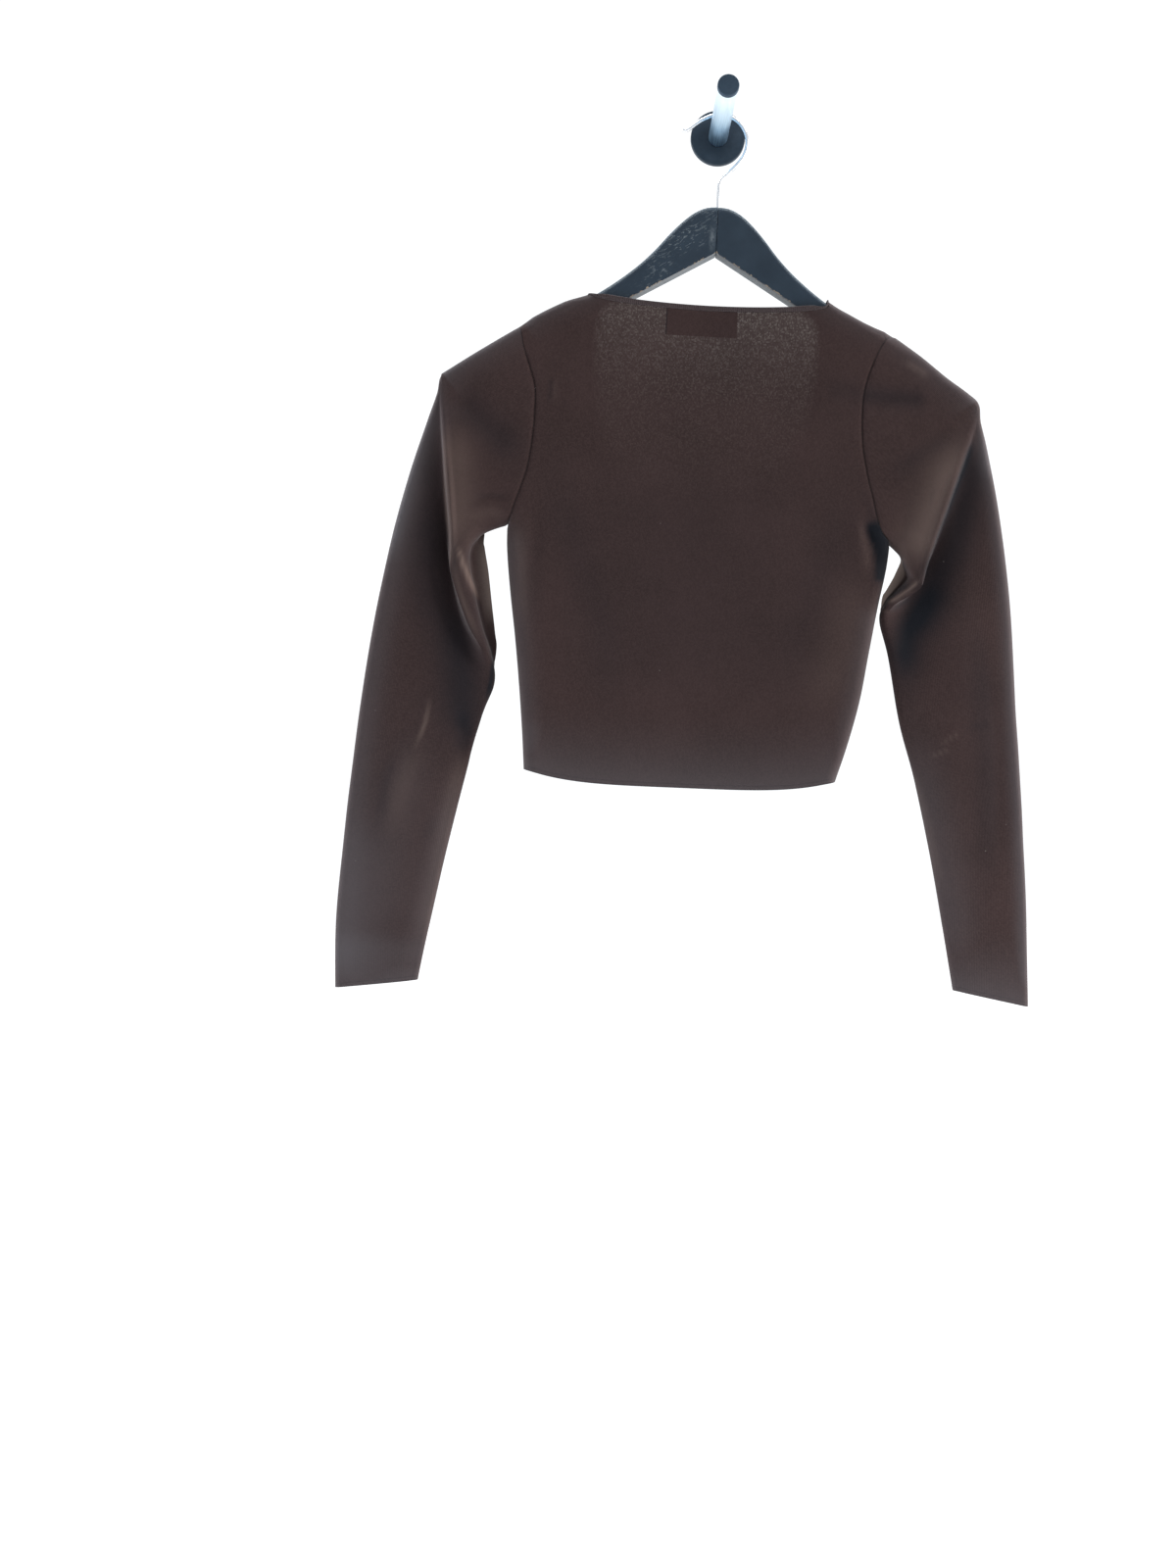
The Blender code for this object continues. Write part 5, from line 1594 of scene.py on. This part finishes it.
# the same plastic as the plate, painted lighter for the light that falls on the cap
capPlasticPaintedLighter = plasticMaterial("satinPlasticCapPaintedLighter", (0.041, 0.067, 0.101, 1),
                             (0.054, 0.084, 0.12, 1))
paint = woodMaterial()
plate = lathe("wallPlate", [(0, 0), (peg["plate"], 0)] + roundedCorner(
    peg["plate"], peg["plateThick"], peg["soft"]) + [(0, peg["plateThick"])], platePlastic)
tubeBase = peg["plateThick"] + peg["seat"]
tubeIn = peg["tube"] - peg["wall"]
tube = lathe("pegTube", [(peg["tube"], tubeBase), (peg["tube"], peg["tubeEnd"] - 0.2),
                         (peg["tube"] - 0.2, peg["tubeEnd"]), (tubeIn, peg["tubeEnd"]),
                         (tubeIn, tubeBase)], brushedMaterial())
seat = peg["tubeEnd"] + peg["seat"]
plug = tubeIn - peg["seat"]
cap = lathe("pegCap", [(0, seat - 10), (plug, seat - 10), (plug, seat), (peg["cap"], seat)]
            + roundedCorner(peg["cap"], seat + peg["capRim"], peg["soft"])
            + [(0, seat + peg["capRim"])], capPlasticPaintedLighter)
armLeft = makeArm("hangerArmLeft", -1, paint)
armRight = makeArm("hangerArmRight", 1, paint)
hangerHook = makeHook(wireMaterial())
print("hanger and peg made")

for piece, node, slotName in (
    (backPanel, "back_panel", "knit"), (frontPanel, "front_panel", "knit"),
    (sleeveLeft, "sleeve_left", "knit"), (sleeveRight, "sleeve_right", "knit"),
    (neckband, "neckband", "knit_band"), (label, "label", "label"),
    (plate, "wall_plate", "black_plastic"), (tube, "peg_tube", "brushed_metal"),
    (cap, "peg_cap", "black_plastic"), (armLeft, "hanger_arm_left", "black_wood"),
    (armRight, "hanger_arm_right", "black_wood"), (hangerHook, "hanger_hook", "steel_wire"),
):
    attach(piece, "root")
    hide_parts(node)
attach(neckStitches, "root")

# floor, pale surroundings and camera
stage = {
    "floorDrop": -1.25,
    "floorSize": 12,
    "worldColour": (0.97, 0.985, 1, 1),
    "worldStrength": 1.1,
    "fill": 0.16,
    "cameraAt": (-0.10987, -1.25, -0.54654),
    "lens": 33.84,
}


def seenDirectly(tree):
    camera, glossy = add(tree, "LightPath", out=("Is Camera Ray", "Is Glossy Ray"))
    return camera.larger(glossy)


def makeFloor():
    bpy.ops.mesh.primitive_plane_add(size=stage["floorSize"],
                                     location=(0, 0, stage["floorDrop"]))
    floor = bpy.context.object
    floor.name = "floor"
    material, tree = newMaterial("paleFloor")
    floor.data.materials.append(shade(material, {
        "Base Color": (0.92, 0.93, 0.94, 1), "Roughness": 0.9,
        "Emission Color": (1, 1, 1, 1), "Emission Strength": seenDirectly(tree)}))


def makeLight(name, at, target, size, power, colour):
    lamp = bpy.data.lights.new(name, "AREA")
    lamp.shape = "RECTANGLE"
    lamp.size, lamp.size_y = size
    lamp.energy = power
    lamp.color = colour
    obj = addObject(name, lamp)
    obj.location = at
    obj.rotation_euler = (Vector(target) - Vector(at)).to_track_quat("-Z", "Y").to_euler()
    obj.visible_camera = False


def makeWorld():
    # white behind the object, and a dimmer light on it so that the lamps give it form
    world = bpy.data.worlds.new("paleStudio")
    world.use_nodes = True
    tree = world.node_tree
    strength = add(tree, "Mix", {0: seenDirectly(tree), 2: stage["fill"],
                                 3: stage["worldStrength"]})
    feedAll(tree.nodes["Background"], {"Color": stage["worldColour"], "Strength": strength})
    bpy.context.scene.world = world


def makeCamera():
    camera = bpy.data.cameras.new("camera")
    camera.lens = stage["lens"]
    camera.sensor_width = 36
    camera.clip_start = 0.05
    camera.clip_end = 60
    obj = addObject("camera", camera)
    obj.location = stage["cameraAt"]
    obj.rotation_euler = (radians(90), 0, 0)
    bpy.context.scene.camera = obj


makeFloor()
makeWorld()
makeLight("leftSoftbox", (-1.7, -0.2, -0.3), (-0.05, -0.03, -0.42), (1.1, 1.6), 31,
          (0.92, 0.97, 1))
makeLight("rightSoftbox", (1.6, -0.35, -0.1), (0, -0.03, -0.42), (1.1, 1.6), 44,
          (1, 0.97, 0.945))
makeLight("topSoftbox", (-0.03, -0.02, 0.42), (-0.03, -0.035, -0.2), (1.1, 0.12), 6,
          (0.9, 0.96, 1))
makeLight("lowSoftbox", (0, -0.55, -1.13), (0, -0.02, -0.66), (1.5, 0.3), 3.2,
          (0.86, 0.94, 1))
makeCamera()
bpy.context.scene.view_settings.view_transform = "Standard"
print("stage made")
